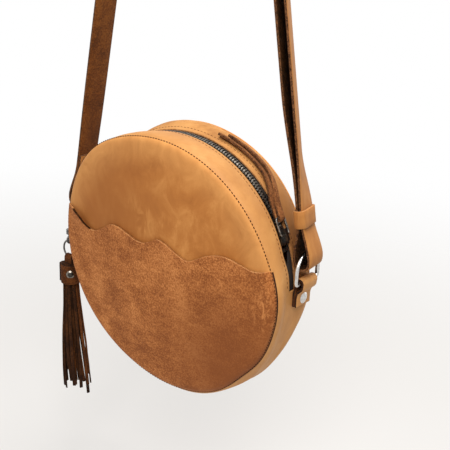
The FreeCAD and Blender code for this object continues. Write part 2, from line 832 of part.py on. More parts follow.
def make_strap():
    """One leather strip: long tail, right loop, over the hang point, left loop, short tail."""
    right = leg_points(size("right_tail"))
    left = [(-x, z, r) for x, z, r in reversed(leg_points(size("left_tail")))]
    top_z = hang_z + hang_mid
    corner_x = hang_mid * math.tan(math.radians(45) - strap_lean / 2)
    over = [(corner_x, top_z, hang_mid), (-corner_x, top_z, hang_mid)]
    shape = strip(right + over + left, strap_t, size("strap_width"))
    for along, right_side in stud_places():
        start = Vec(*stud_point(along, -2 * strap_t, right_side))
        end = Vec(*stud_point(along, 2 * strap_t, right_side))
        shape = shape.cut(pin(size("stud_post") + 2 * seat_gap, start, end))
    strap_feature("strap", shape)


def stud_places():
    """Heights of the studs: two at the end of the long tail, one on the short tail."""
    high = size("right_tail") - size("stud_inset")
    low = size("left_tail") - size("stud_inset")
    return [(high, True), (high - size("stud_spacing"), True), (low, False)]


def stud_point(along, out, right):
    """Point on a stud's axis, on the right or the left leg."""
    x, z = on_strap(along, out)
    return (x if right else -x), 0, z


def make_studs():
    """Domed studs through both layers of the strap."""
    grip = 2 * strap_mid + strap_t + 2 * seat_gap
    solids = []
    for along, right in stud_places():
        stud = dome_rivet(size("stud_cap"), size("stud_dome"), size("stud_post"), grip)
        stud.rotate(Vec(0, 0, 0), Vec(0, 1, 0), -math.degrees(strap_lean))
        x, z = on_strap(along, -grip / 2)
        stud.translate(Vec(x, 0, z))
        solids.append(stud if right else turned_left(stud))
    strap_feature("strap_studs", Part.makeCompound(solids))


def make_keeper():
    """Leather loop that holds the two layers of the right leg together."""
    body = new_body("strap_keeper")
    wall = size("keeper_wall")
    half_x = strap_mid + strap_t / 2 + seat_gap
    half_y = size("strap_width") / 2 + seat_gap
    sketch = sketch_on(body, "XY_Plane", "keeper_loop")
    for grow in (wall, 0.0):
        x, y = half_x + grow, half_y + grow
        draw(sketch, polygon([(-x, -y), (x, -y), (x, y), (-x, y)]))
    pad = body.newObject("PartDesign::Pad", "keeper_band")
    pad.Profile = sketch
    bind(pad, "Length", "sizes.keeper_height")
    body.Tip = pad
    doc.recompute()
    outer = [f"Edge{i}" for i, e in enumerate(pad.Shape.Edges, start=1) if is_keeper_corner(e, half_x + wall)]
    fillet = body.newObject("PartDesign::Fillet", "keeper_corners")
    fillet.Base = (pad, outer)
    bind(fillet, "Radius", "sizes.keeper_wall")
    body.Tip = fillet
    x, z = on_strap(size("loop_length"), 0)
    turn = FreeCAD.Rotation(Vec(0, 0, 1), hang_turn)
    spot = turn.multVec(Vec(x, 0, z)) + Vec(0, hang_y, -drop)
    lean = FreeCAD.Rotation(Vec(0, 1, 0), -math.degrees(strap_lean))
    body.Placement = FreeCAD.Placement(spot, turn.multiply(lean))


def is_keeper_corner(edge, outside):
    """True for the upright edges on the outside of the keeper."""
    one, two = edge.Vertexes[0].Point, edge.Vertexes[-1].Point
    upright = abs(one.z - two.z) > 1 and abs(one.x - two.x) < 1e-6 and abs(one.y - two.y) < 1e-6
    return upright and abs(abs(one.x) - outside) < 1e-6


# Snap hook on the left ring
clasp_y = size("clasp_y")
clasp_x = -ring_x - size("clasp_standoff")
hook_x = -ring_x - size("hook_offset")
hook_half = hook_x - clasp_x
bolt_x = hook_x + hook_half
clasp_wire = size("clasp_wire")
barrel_bottom = size("barrel_top") - size("barrel_length")


def upright(diameter, x, low, high):
    """Round post beside the left ring, between two heights."""
    return pin(diameter, Vec(x, clasp_y, low), Vec(x, clasp_y, high))


def make_clasp_body():
    """Shank that rises from a barrel and hooks over the ring's bar, with a guide for the bolt."""
    top = size("clasp_top")
    barrel_top = size("barrel_top")
    points = [(clasp_x, barrel_top - leather / 2, 0), (clasp_x, top, hook_half)]
    points += [(bolt_x, top, hook_half), (bolt_x, size("clasp_tip"), 0)]
    hook = bent_wire(points, clasp_wire)
    hook.translate(Vec(0, clasp_y, 0))
    barrel = upright(size("barrel_width"), clasp_x, barrel_bottom, barrel_top)
    room_low = barrel_bottom + size("barrel_floor")
    room = upright(size("stem_head") + 2 * soft_gap, clasp_x, room_low, room_low + size("barrel_room"))
    mouth = upright(size("stem_width") + 2 * soft_gap, clasp_x, barrel_bottom, room_low)
    web_low = barrel_top - size("web_height")
    web = Part.makeBox(bolt_x - clasp_x, clasp_wire, size("web_height"), Vec(clasp_x, clasp_y - clasp_wire / 2, web_low))
    guide = upright(size("guide_width"), bolt_x, size("guide_bottom"), size("guide_top"))
    shape = barrel.fuse(web).fuse(guide).cut(room).cut(mouth)
    bore = size("bolt_width") + 2 * size("bolt_play")
    shape = shape.cut(upright(bore, bolt_x, web_low, size("guide_top")))
    bag_feature("clasp_body", shape.fuse(hook).removeSplitter())


def make_clasp_trigger():
    """Sprung bolt that closes the hook, with the knob that pulls it down."""
    bottom = size("bolt_bottom")
    bolt = upright(size("bolt_width"), bolt_x, bottom, size("clasp_tip") - soft_gap)
    knob = upright(size("knob_width"), bolt_x, bottom - size("knob_height"), bottom)
    bag_feature("clasp_trigger", bolt.fuse(knob).removeSplitter())


eye_z = barrel_bottom - size("barrel_floor") - size("eye_radius") - size("eye_wire") / 2


def make_swivel():
    """Eye on a headed stem that turns in the clasp's barrel."""
    eye = Part.makeTorus(size("eye_radius"), size("eye_wire") / 2, Vec(clasp_x, clasp_y, eye_z), Vec(1, 0, 0))
    head_low = barrel_bottom + size("barrel_floor") + soft_gap
    head_high = head_low + size("barrel_room") - 2 * soft_gap
    stem = upright(size("stem_width"), clasp_x, eye_z + size("eye_radius"), head_high)
    collar = upright(size("stem_head"), clasp_x, barrel_bottom - size("barrel_floor"), barrel_bottom - soft_gap)
    head = upright(size("stem_head"), clasp_x, head_low, head_high)
    bag_feature("clasp_swivel", eye.fuse(stem).fuse(collar).fuse(head).removeSplitter())


split_top = eye_z - size("eye_radius") + size("eye_wire") / 2 + size("split_wire") / 2 + seat_gap
split_z = split_top - size("split_radius")
split_bottom = split_z - size("split_radius")


def make_split_ring():
    """Wire ring that carries the tassel."""
    shape = Part.makeTorus(size("split_radius"), size("split_wire") / 2, Vec(clasp_x, clasp_y, split_z), Vec(0, 1, 0))
    bag_feature("split_ring", shape)


# Tassel
loop_bend = size("split_wire") / 2 + size("loop_play") + size("loop_leather") / 2
loop_top = split_bottom + loop_bend + size("loop_rise")
wrap_top = loop_top - size("wrap_drop")
wrap_bottom = wrap_top - size("wrap_length")
roll_radius = size("wrap_width") / 2 - size("wrap_wall") - seat_gap
tassel_axis = Vec(clasp_x, clasp_y, 0)
tassel_rivet_z = wrap_top - size("wrap_length") * 0.35
rivet_turn = math.radians(size("tassel_rivet_turn"))
rivet_way = Vec(math.sin(rivet_turn), -math.cos(rivet_turn), 0)


def rivet_bore():
    """Bore of the tassel's rivet, right through the wrap."""
    reach = rivet_way * size("wrap_width")
    middle = tassel_axis + Vec(0, 0, tassel_rivet_z)
    return pin(size("rivet_post") + 2 * seat_gap, middle - reach, middle + reach)


def make_tassel_loop():
    """Leather strip folded over the split ring, its two ends inside the wrap."""
    end = wrap_bottom + size("loop_foot")
    points = [(-loop_bend, end, 0), (-loop_bend, loop_top, loop_bend)]
    points += [(loop_bend, loop_top, loop_bend), (loop_bend, end, 0)]
    shape = strip(points, size("loop_leather"), size("loop_strip"))
    shape.rotate(Vec(0, 0, 0), Vec(0, 0, 1), 90)
    shape.translate(tassel_axis)
    bag_feature("tassel_loop", shape.cut(rivet_bore()))


def make_tassel_wrap():
    """Leather band rolled round the fringe's head."""
    outer = Part.makeCylinder(size("wrap_width") / 2, size("wrap_length"), tassel_axis + Vec(0, 0, wrap_bottom))
    inner = Part.makeCylinder(roll_radius + seat_gap, size("wrap_length"), tassel_axis + Vec(0, 0, wrap_bottom))
    bag_feature("tassel_wrap", outer.cut(inner).cut(rivet_bore()))


def make_tassel_rivet():
    """Rivet right through the wrap, the fringe's head and the loop."""
    half = size("wrap_width") / 2 + seat_gap
    shape = dome_rivet(size("tassel_cap"), size("rivet_dome"), size("rivet_post"), 2 * half)
    shape.rotate(Vec(0, 0, 0), Vec(0, 0, 1), size("tassel_rivet_turn") - 90)
    shape.translate(tassel_axis - rivet_way * half + Vec(0, 0, tassel_rivet_z))
    bag_feature("tassel_rivet", shape)


def make_tassel_fringe():
    """Rolled head with a slot for the loop, and two rings of cut strands that hang from it."""
    skirt = wrap_bottom - size("wrap_drop") / 4
    head = pin(2 * roll_radius, tassel_axis + Vec(0, 0, skirt), tassel_axis + Vec(0, 0, wrap_top - size("head_gap")))
    slot_y = 2 * loop_bend + size("loop_leather") + 2 * seat_gap
    slot_x = size("loop_strip") + 2 * seat_gap
    corner = tassel_axis + Vec(-slot_x / 2, -slot_y / 2, wrap_bottom + size("loop_foot") - seat_gap)
    shape = head.cut(Part.makeBox(slot_x, slot_y, size("wrap_length"), corner))
    count = int(size("strand_count"))
    thick = size("strand_thick")
    strand_top = wrap_bottom - size("strand_drop")
    for i in range(count):
        outer = i % 2 == 0
        ring = roll_radius - thick - (0 if outer else size("strand_inset"))
        length = size("fringe_length") - 4 * (i % 3) - 3 * (i % 4)
        width = size("strand_width") * (1 if outer else 0.8)
        strand = Part.makeBox(thick, width, length, Vec(ring, -width / 2, strand_top - length))
        splay = size("outer_splay") if outer else size("inner_splay")
        strand.rotate(Vec(0, 0, strand_top), Vec(0, 1, 0), -splay)
        strand.rotate(Vec(0, 0, 0), Vec(0, 0, 1), 360 * i / count)
        strand.translate(tassel_axis)
        shape = shape.fuse(strand)
    bag_feature("tassel_fringe", shape.cut(rivet_bore()).removeSplitter())


def main():
    make_front_panel()
    make_front_pocket()
    make_rear_panel()
    make_placket("front_zip_placket", True)
    make_placket("rear_zip_placket", False)
    make_bottom_gusset()
    make_tape("zip_tape_front", True)
    make_tape("zip_tape_rear", False)
    make_teeth("zip_teeth_front", True)
    make_teeth("zip_teeth_rear", False)
    make_stops()
    make_slider()
    make_pull_ring()
    make_thong()
    make_tab("right_tab", "right_tab_rivet", size("right_side_y"), True)
    make_tab("left_tab", "left_tab_rivet", size("left_side_y"), False)
    make_ring("right_ring", size("right_side_y"), True)
    make_ring("left_ring", size("left_side_y"), False)
    make_strap()
    make_keeper()
    make_studs()
    make_clasp_body()
    make_clasp_trigger()
    make_swivel()
    make_split_ring()
    make_tassel_loop()
    make_tassel_wrap()
    make_tassel_rivet()
    make_tassel_fringe()
    doc.recompute()
    for item in doc.Objects:
        if "Invalid" in item.State or "Error" in item.State:
            raise RuntimeError(f"{item.Label} failed: {item.State}")
    for node in nodes:
        shape = node.Shape
        if shape.isNull() or not shape.isValid():
            raise RuntimeError(f"{node.Label} has no valid shape")
    for node in nodes:
        node.Shape.exportStep(f"parts/{node.Label}.step")


main()
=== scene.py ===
"""Circle bag: soft leather dressing, finishes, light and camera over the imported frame."""

from __future__ import annotations

import json
import logging
import math
from dataclasses import dataclass
from enum import Enum
from typing import Any, Callable, Iterable, Sequence

import bmesh
import bpy
from mathutils import Matrix, Vector, noise

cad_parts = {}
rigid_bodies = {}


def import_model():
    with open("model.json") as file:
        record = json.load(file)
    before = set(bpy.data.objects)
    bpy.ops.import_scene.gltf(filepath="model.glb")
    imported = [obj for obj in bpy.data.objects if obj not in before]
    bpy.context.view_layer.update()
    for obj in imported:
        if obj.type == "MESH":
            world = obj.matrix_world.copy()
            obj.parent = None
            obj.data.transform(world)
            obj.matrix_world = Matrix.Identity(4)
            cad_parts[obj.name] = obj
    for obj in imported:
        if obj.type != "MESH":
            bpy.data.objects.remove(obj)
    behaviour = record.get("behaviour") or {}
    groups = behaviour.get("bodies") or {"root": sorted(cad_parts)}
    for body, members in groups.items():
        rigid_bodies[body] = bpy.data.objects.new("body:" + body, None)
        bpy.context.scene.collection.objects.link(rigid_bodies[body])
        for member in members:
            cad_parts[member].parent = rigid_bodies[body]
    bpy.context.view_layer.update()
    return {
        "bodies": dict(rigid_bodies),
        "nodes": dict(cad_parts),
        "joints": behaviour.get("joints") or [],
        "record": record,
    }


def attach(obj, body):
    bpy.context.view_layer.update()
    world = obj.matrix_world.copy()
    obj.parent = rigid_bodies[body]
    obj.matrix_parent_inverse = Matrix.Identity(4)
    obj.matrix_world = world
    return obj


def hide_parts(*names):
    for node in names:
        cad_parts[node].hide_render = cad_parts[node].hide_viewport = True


LOG = logging.getLogger("circle_bag")
MM = 0.001
BAG_DROP = 575.0
ANY_DEPTH = 9.0
WHITE = (1.0, 1.0, 1.0, 1.0)

Colour = tuple[float, float, float]
Point2 = tuple[float, float]
Point3 = tuple[float, float, float]


class Side(Enum):
    """The two faces of the bag, with the sign of their Y direction."""

    FRONT = -1
    REAR = 1

    @property
    def word(self) -> str:
        """The face's word in the names of pieces."""
        return self.name.lower()


class Body(Enum):
    """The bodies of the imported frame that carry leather."""

    STRAP = "strap"
    BAG = "bag"
    PULL = "pull"
    TASSEL = "tassel"


def to_frame(p: Vector) -> Vector:
    """A point about the bag's centre, in millimetres, as a point of the frame in metres."""
    return Vector((p.x, p.y, p.z - BAG_DROP)) * MM


def polar(radius: float, turn: float, depth: float = 0.0) -> Vector:
    """Point at an angle in radians round the bag's Y axis, from +X towards +Z."""
    return Vector((radius * math.cos(turn), depth, radius * math.sin(turn)))


def bearing(p: Vector) -> float:
    """Angle of a point round the bag's Y axis, in degrees."""
    return math.degrees(math.atan2(p.z, p.x))


def ease(value: float, low: float, high: float) -> float:
    """Smooth step from 0 at low to 1 at high."""
    t = min(max((value - low) / (high - low), 0.0), 1.0)
    return t * t * (3 - 2 * t)


def bell(value: float) -> float:
    """Bell curve: 1 at zero, falling to both sides."""
    return math.exp(-(value**2))


def wobble(p: Vector, size: float, reach: float, seed: float) -> float:
    """Soft unevenness of hand-made leather at a point.

    Args:
        p: the point.
        size: largest move.
        reach: millimetres between lumps.
        seed: shifts the pattern.

    Returns:
        Millimetres.
    """
    return size * noise.noise(p / reach + Vector((seed, seed * 0.7, seed * 1.3)))


# Shader maths


class Sock:
    """A shader socket that takes part in Python arithmetic."""

    def __init__(self, graph: Graph, socket: bpy.types.NodeSocket) -> None:
        """Hold a socket of a graph."""
        self.graph = graph
        self.socket = socket

    def _math(self, operation: str, one: Any, two: Any) -> Sock:
        """Add one Math node."""
        return self.graph.node("ShaderNodeMath", {"operation": operation}, {0: one, 1: two})[0]

    def __add__(self, other: Any) -> Sock:
        """Sum."""
        return self._math("ADD", self, other)

    __radd__ = __add__

    def __sub__(self, other: Any) -> Sock:
        """Difference."""
        return self._math("SUBTRACT", self, other)

    def __rsub__(self, other: Any) -> Sock:
        """Difference from a number."""
        return self._math("SUBTRACT", other, self)

    def __mul__(self, other: Any) -> Sock:
        """Product."""
        return self._math("MULTIPLY", self, other)

    def span(self, low: float, high: float) -> Sock:
        """Stretch a range of values to 0 to 1, clipped and smoothed."""
        settings = {"interpolation_type": "SMOOTHSTEP"}
        inputs = {"Value": self, "From Min": low, "From Max": high}
        return self.graph.node("ShaderNodeMapRange", settings, inputs)[0]


class NodeOut:
    """A node whose outputs are read by name or number."""

    def __init__(self, graph: Graph, item: bpy.types.Node) -> None:
        """Hold a node of a graph."""
        self.graph = graph
        self.item = item

    def __getitem__(self, key: int | str) -> Sock:
        """One output as a socket."""
        return Sock(self.graph, self.item.outputs[key])


class Graph:
    """Node tree of one material or world."""

    def __init__(self, owner: bpy.types.Material | bpy.types.World) -> None:
        """Start with the owner's nodes cleared away."""
        self.owner = owner
        owner.use_nodes = True
        self.tree = owner.node_tree
        self.tree.nodes.clear()

    @classmethod
    def named(cls, name: str) -> Graph:
        """Start a new material."""
        return cls(bpy.data.materials.new(name))

    def node(self, kind: str, settings: dict[str, Any] | None = None,
             inputs: dict[Any, Any] | None = None) -> NodeOut:
        """Add a node, set it up, then give its sockets values or links.

        Args:
            kind: node type.
            settings: attributes of the node; stops fills a colour ramp.
            inputs: socket name or number to a value or a socket.

        Returns:
            The node's outputs.
        """
        item = self.tree.nodes.new(kind)
        for key, value in (settings or {}).items():
            if key == "stops":
                self._fill_ramp(item, value)
            else:
                setattr(item, key, value)
        for key, value in (inputs or {}).items():
            if isinstance(value, Sock):
                self.tree.links.new(value.socket, item.inputs[key])
            else:
                item.inputs[key].default_value = value
        return NodeOut(self, item)

    @staticmethod
    def _fill_ramp(item: bpy.types.Node, stops: Sequence[tuple[float, Colour]]) -> None:
        """Set a ramp's stops from places and colours."""
        elements = item.color_ramp.elements
        while len(elements) < len(stops):
            elements.new(0.5)
        for element, (place, colour) in zip(elements, stops):
            element.position = place
            element.color = (*colour, 1.0)

    def place(self, stretch: Point3 = (1.0, 1.0, 1.0), turn: Point3 = (0.0, 0.0, 0.0)) -> Sock:
        """Object coordinates, stretched and turned."""
        coords = self.node("ShaderNodeTexCoord")["Object"]
        inputs = {"Vector": coords, "Scale": stretch, "Rotation": turn}
        return self.node("ShaderNodeMapping", {}, inputs)[0]

    def noise(self, vector: Sock, scale: float, detail: float = 3.0, rough: float = 0.55,
              twist: float = 0.0) -> Sock:
        """Noise pattern as a value."""
        inputs = {"Vector": vector, "Scale": scale, "Detail": detail, "Roughness": rough,
                  "Distortion": twist}
        return self.node("ShaderNodeTexNoise", {}, inputs)["Fac"]

    def near(self, centre: Point3, reach: Point3) -> Sock:
        """How near a point is to a place: 1 there, falling to 0 at the reach along each axis.

        Args:
            centre: the place, in metres of the frame.
            reach: how far it spreads along X, Y and Z.

        Returns:
            The nearness.
        """
        point = self.node("ShaderNodeTexCoord")["Object"]
        kind = "ShaderNodeVectorMath"
        for operation, by in (("SUBTRACT", centre), ("DIVIDE", reach)):
            point = self.node(kind, {"operation": operation}, {0: point, 1: by})[0]
        length = self.node(kind, {"operation": "LENGTH"}, {0: point})["Value"]
        return 1 - length.span(0.25, 1.0)

    def ramp(self, value: Sock, stops: Sequence[tuple[float, Colour]]) -> Sock:
        """Colour by value."""
        return self.node("ShaderNodeValToRGB", {"stops": stops}, {0: value})["Color"]

    def blend(self, share: Any, one: Any, two: Any) -> Sock:
        """Mix two colours."""
        pick = [c if isinstance(c, Sock) else (*c, 1.0) for c in (one, two)]
        settings = {"data_type": "RGBA", "blend_type": "MIX", "clamp_factor": True}
        return self.node("ShaderNodeMix", settings, {0: share, 6: pick[0], 7: pick[1]})[2]

    def bump(self, height: Sock, strength: float, depth: float, under: Sock | None = None) -> Sock:
        """Bump normal from a height, over another one."""
        inputs: dict[Any, Any] = {"Height": height, "Strength": strength, "Distance": depth}
        if under is not None:
            inputs["Normal"] = under
        return self.node("ShaderNodeBump", {}, inputs)[0]

    def close(self, **inputs: Any) -> bpy.types.Material:
        """Finish with a principled surface whose sockets are named with underscores for spaces."""
        named = {key.replace("_", " "): value for key, value in inputs.items()}
        shader = self.node("ShaderNodeBsdfPrincipled", {}, named)
        self.node("ShaderNodeOutputMaterial", {}, {"Surface": shader[0]})
        return self.owner


# Finishes


@dataclass(frozen=True)
class Spot:
    """A marked place on the leather, in millimetres about the bag's centre."""

    x: float
    z: float
    wide: float
    high: float

    def on(self, g: Graph) -> Sock:
        """Nearness to the place, whatever the depth."""
        place = to_frame(Vector((self.x, 0.0, self.z)))
        return g.near(tuple(place), (self.wide * MM, ANY_DEPTH, self.high * MM))


WHOLE_DISC = Spot(0.0, 0.0, 128.0, 128.0)


@dataclass(frozen=True)
class Nubuck:
    """Buffed grain leather: soft cloudy tone, brushed streaks and a fine nap."""

    name: str
    deep: Colour
    middle: Colour
    pale: Colour
    streak: float = 0.14
    rough: float = 0.74
    gloss: float = 0.22
    mottle: float = 0.25
    brushed: Spot | None = None
    # shaded: painted shade, the deep colour blended in round a place
    shaded: Spot | None = None
    # rim: paler towards the disc's rim, partly burnish and partly painted highlight
    rim: float = 0.0
    rim_burnish_and_highlight_tone: Colour = (0.70, 0.330, 0.100)

    def material(self) -> bpy.types.Material:
        """Build the material."""
        g = Graph.named(self.name)
        flat = g.place()
        clouds = g.noise(flat, 24.0, 4.0, 0.6, 0.4)
        patches = g.noise(g.place((1.0, 1.0, 0.8), (0.0, 0.4, 0.0)), 52.0, 5.0, 0.62, 0.9)
        strokes = g.noise(g.place((1.0, 1.0, 0.3)), 140.0, 3.0, 0.6, 0.6)
        nap = g.noise(flat, 1900.0, 2.0, 0.6)
        pores = g.noise(flat, 700.0, 3.0, 0.65)
        cloudy = 1.0 - self.streak - self.mottle
        tone = clouds * cloudy + patches * self.mottle + strokes * self.streak
        tone += (nap - 0.5) * 0.14
        colour = g.ramp(tone, [(0.33, self.deep), (0.50, self.middle), (0.68, self.pale)])
        scuffs = g.noise(g.place((1.0, 1.0, 0.5)), 120.0, 5.0, 0.7, 1.2).span(0.60, 0.80)
        colour = g.blend(scuffs * 0.25, colour, self.pale)
        colour = g.blend(nap.span(0.35, 0.75) * 0.14, colour, self.deep)
        # Painted shade: darker round the shaded place, broken up by the clouds
        if self.shaded:
            colour = g.blend(self.shaded.on(g) * (clouds * 1.2 + 0.1), colour, self.deep)
        if self.brushed:
            marks = strokes.span(0.52, 0.70) * self.brushed.on(g)
            colour = g.blend(marks * 0.4, colour, self.pale)
        # Paler towards the rim: partly burnish, partly painted highlight
        if self.rim:
            edge = (1 - WHOLE_DISC.on(g)).span(0.45, 0.92)
            colour = g.blend(edge * (patches * 1.5 + 0.1) * self.rim, colour, self.rim_burnish_and_highlight_tone)
        normal = g.bump(pores * 0.7 + nap * 0.3, 0.16, 0.00035)
        normal = g.bump(clouds, 0.10, 0.002, normal)
        return g.close(Base_Color=colour, Roughness=clouds * 0.16 + (self.rough - 0.08),
                       Normal=normal, Sheen_Weight=0.03, Sheen_Roughness=0.5,
                       Sheen_Tint=(1.0, 0.85, 0.7, 1.0), Specular_IOR_Level=self.gloss)


@dataclass(frozen=True)
class Suede:
    """Napped split leather: patches brushed both ways and a speckled pile."""

    name: str
    deep: Colour
    middle: Colour
    pale: Colour
    patch: float = 26.0
    sheen: float = 0.03
    # shaded and shade: painted shade, the deep colour blended in round a place
    shaded: Spot | None = None
    shade: float = 0.6
    rubbed: Spot | None = None
    # creased: painted shadow of a crease, darker round a place
    crease_shadow: Spot | None = None

    def material(self) -> bpy.types.Material:
        """Build the material."""
        g = Graph.named(self.name)
        flat = g.place()
        patches = g.noise(g.place((1.0, 1.0, 0.7)), self.patch, 3.0, 0.5, 0.6)
        strokes = g.noise(g.place((0.6, 1.0, 1.5), (0.0, 0.25, 0.0)), 105.0, 4.0, 0.6, 0.6)
        pile = g.noise(flat, 1150.0, 3.0, 0.7)
        specks = g.noise(flat, 480.0, 4.0, 0.78)
        grit = g.noise(flat, 820.0, 2.0, 0.6, 0.3)
        tone = patches * 0.32 + strokes * 0.22 + grit * 0.46 + (pile - 0.5) * 0.25
        colour = g.ramp(tone, [(0.41, self.deep), (0.505, self.middle), (0.60, self.pale)])
        colour = g.blend(specks.span(0.52, 0.70) * 0.22, colour, self.deep)
        # Painted shade: darker round the shaded place
        if self.shaded:
            colour = g.blend(self.shaded.on(g) * self.shade, colour, self.deep)
        if self.rubbed:
            lines = g.noise(g.place((1.0, 1.0, 0.4)), 240.0, 4.0, 0.6, 0.9)
            here = self.rubbed.on(g)
            colour = g.blend(here * lines.span(0.52, 0.62) * 0.75, colour, self.pale)
            colour = g.blend(here * (1 - lines.span(0.38, 0.49)) * 0.7, colour, self.deep)
        # Painted shadow of a crease: the deep colour blended in round the place
        if self.crease_shadow:
            colour = g.blend(self.crease_shadow.on(g) * 0.55, colour, self.deep)
        normal = g.bump(pile * 0.4 + specks * 0.3 + grit * 0.3, 0.55, 0.0009)
        return g.close(Base_Color=colour, Roughness=specks * 0.10 + 0.86, Normal=normal,
                       Sheen_Weight=self.sheen, Sheen_Roughness=0.6,
                       Sheen_Tint=(1.0, 0.8, 0.65, 1.0), Specular_IOR_Level=0.15)


@dataclass(frozen=True)
class RawEdge:
    """Cut edge of leather: layered fibres, pale and dark."""

    name: str
    deep: Colour
    pale: Colour
    fibre: float = 900.0
    gloss: float = 0.2

    def material(self) -> bpy.types.Material:
        """Build the material."""
        g = Graph.named(self.name)
        fibres = g.noise(g.place((1.0, 1.0, 0.6)), self.fibre, 4.0, 0.75, 0.8)
        lumps = g.noise(g.place(), 260.0, 3.0, 0.6)
        colour = g.ramp(fibres * 0.8 + lumps * 0.2, [(0.43, self.deep), (0.61, self.pale)])
        normal = g.bump(fibres, 0.7, 0.0008)
        return g.close(Base_Color=colour, Roughness=fibres * 0.1 + 0.85, Normal=normal,
                       Specular_IOR_Level=self.gloss)


@dataclass(frozen=True)
class Metal:
    """Plated metal with faint wear, and painted shade in the middle where it has an eye, standing
    in for a dished centre.
    """

    name: str
    bright: Colour
    dull: Colour
    rough: float
    eye: Spot | None = None
    hollow_shade_tone: Colour = (0.05, 0.045, 0.04)

    def material(self) -> bpy.types.Material:
        """Build the material."""
        g = Graph.named(self.name)
        wear = g.noise(g.place(), 420.0, 4.0, 0.65)
        fine = g.noise(g.place(), 2400.0, 2.0, 0.5)
        colour = g.blend(wear.span(0.35, 0.7), self.bright, self.dull)
        # Painted shade: the middle of the eye darkened as if hollow
        if self.eye:
            colour = g.blend(self.eye.on(g).span(0.1, 0.4), colour, self.hollow_shade_tone)
        normal = g.bump(fine, 0.05, 0.0001)
        return g.close(Base_Color=colour, Metallic=1.0, Roughness=wear * 0.22 + self.rough,
                       Normal=normal)


@dataclass(frozen=True)
class Tape:
    """Dark herringbone zip tape."""

    name: str
    deep: Colour
    pale: Colour

    def material(self) -> bpy.types.Material:
        """Build the material."""
        g = Graph.named(self.name)
        turned = g.place((1.0, 1.0, 1.0), (0.0, 0.0, 0.6))
        wave = {"Vector": turned, "Scale": 420.0, "Distortion": 1.5}
        rows = g.node("ShaderNodeTexWave", {"wave_type": "BANDS"}, wave)["Fac"]
        weave = g.noise(g.place(), 1600.0, 2.0)
        colour = g.blend(rows * 0.5 + weave * 0.5, self.deep, self.pale)
        return g.close(Base_Color=colour, Roughness=weave * 0.1 + 0.85,
                       Normal=g.bump(rows, 0.5, 0.0004))


@dataclass(frozen=True)
class Thread:
    """Twisted sewing thread."""

    name: str
    deep: Colour
    pale: Colour

    def material(self) -> bpy.types.Material:
        """Build the material."""
        g = Graph.named(self.name)
        plies = g.noise(g.place((1.0, 1.0, 0.5)), 2600.0, 2.0)
        colour = g.blend(plies.span(0.35, 0.7), self.deep, self.pale)
        return g.close(Base_Color=colour, Roughness=plies * 0.15 + 0.7,
                       Normal=g.bump(plies, 0.5, 0.0002), Specular_IOR_Level=0.12)


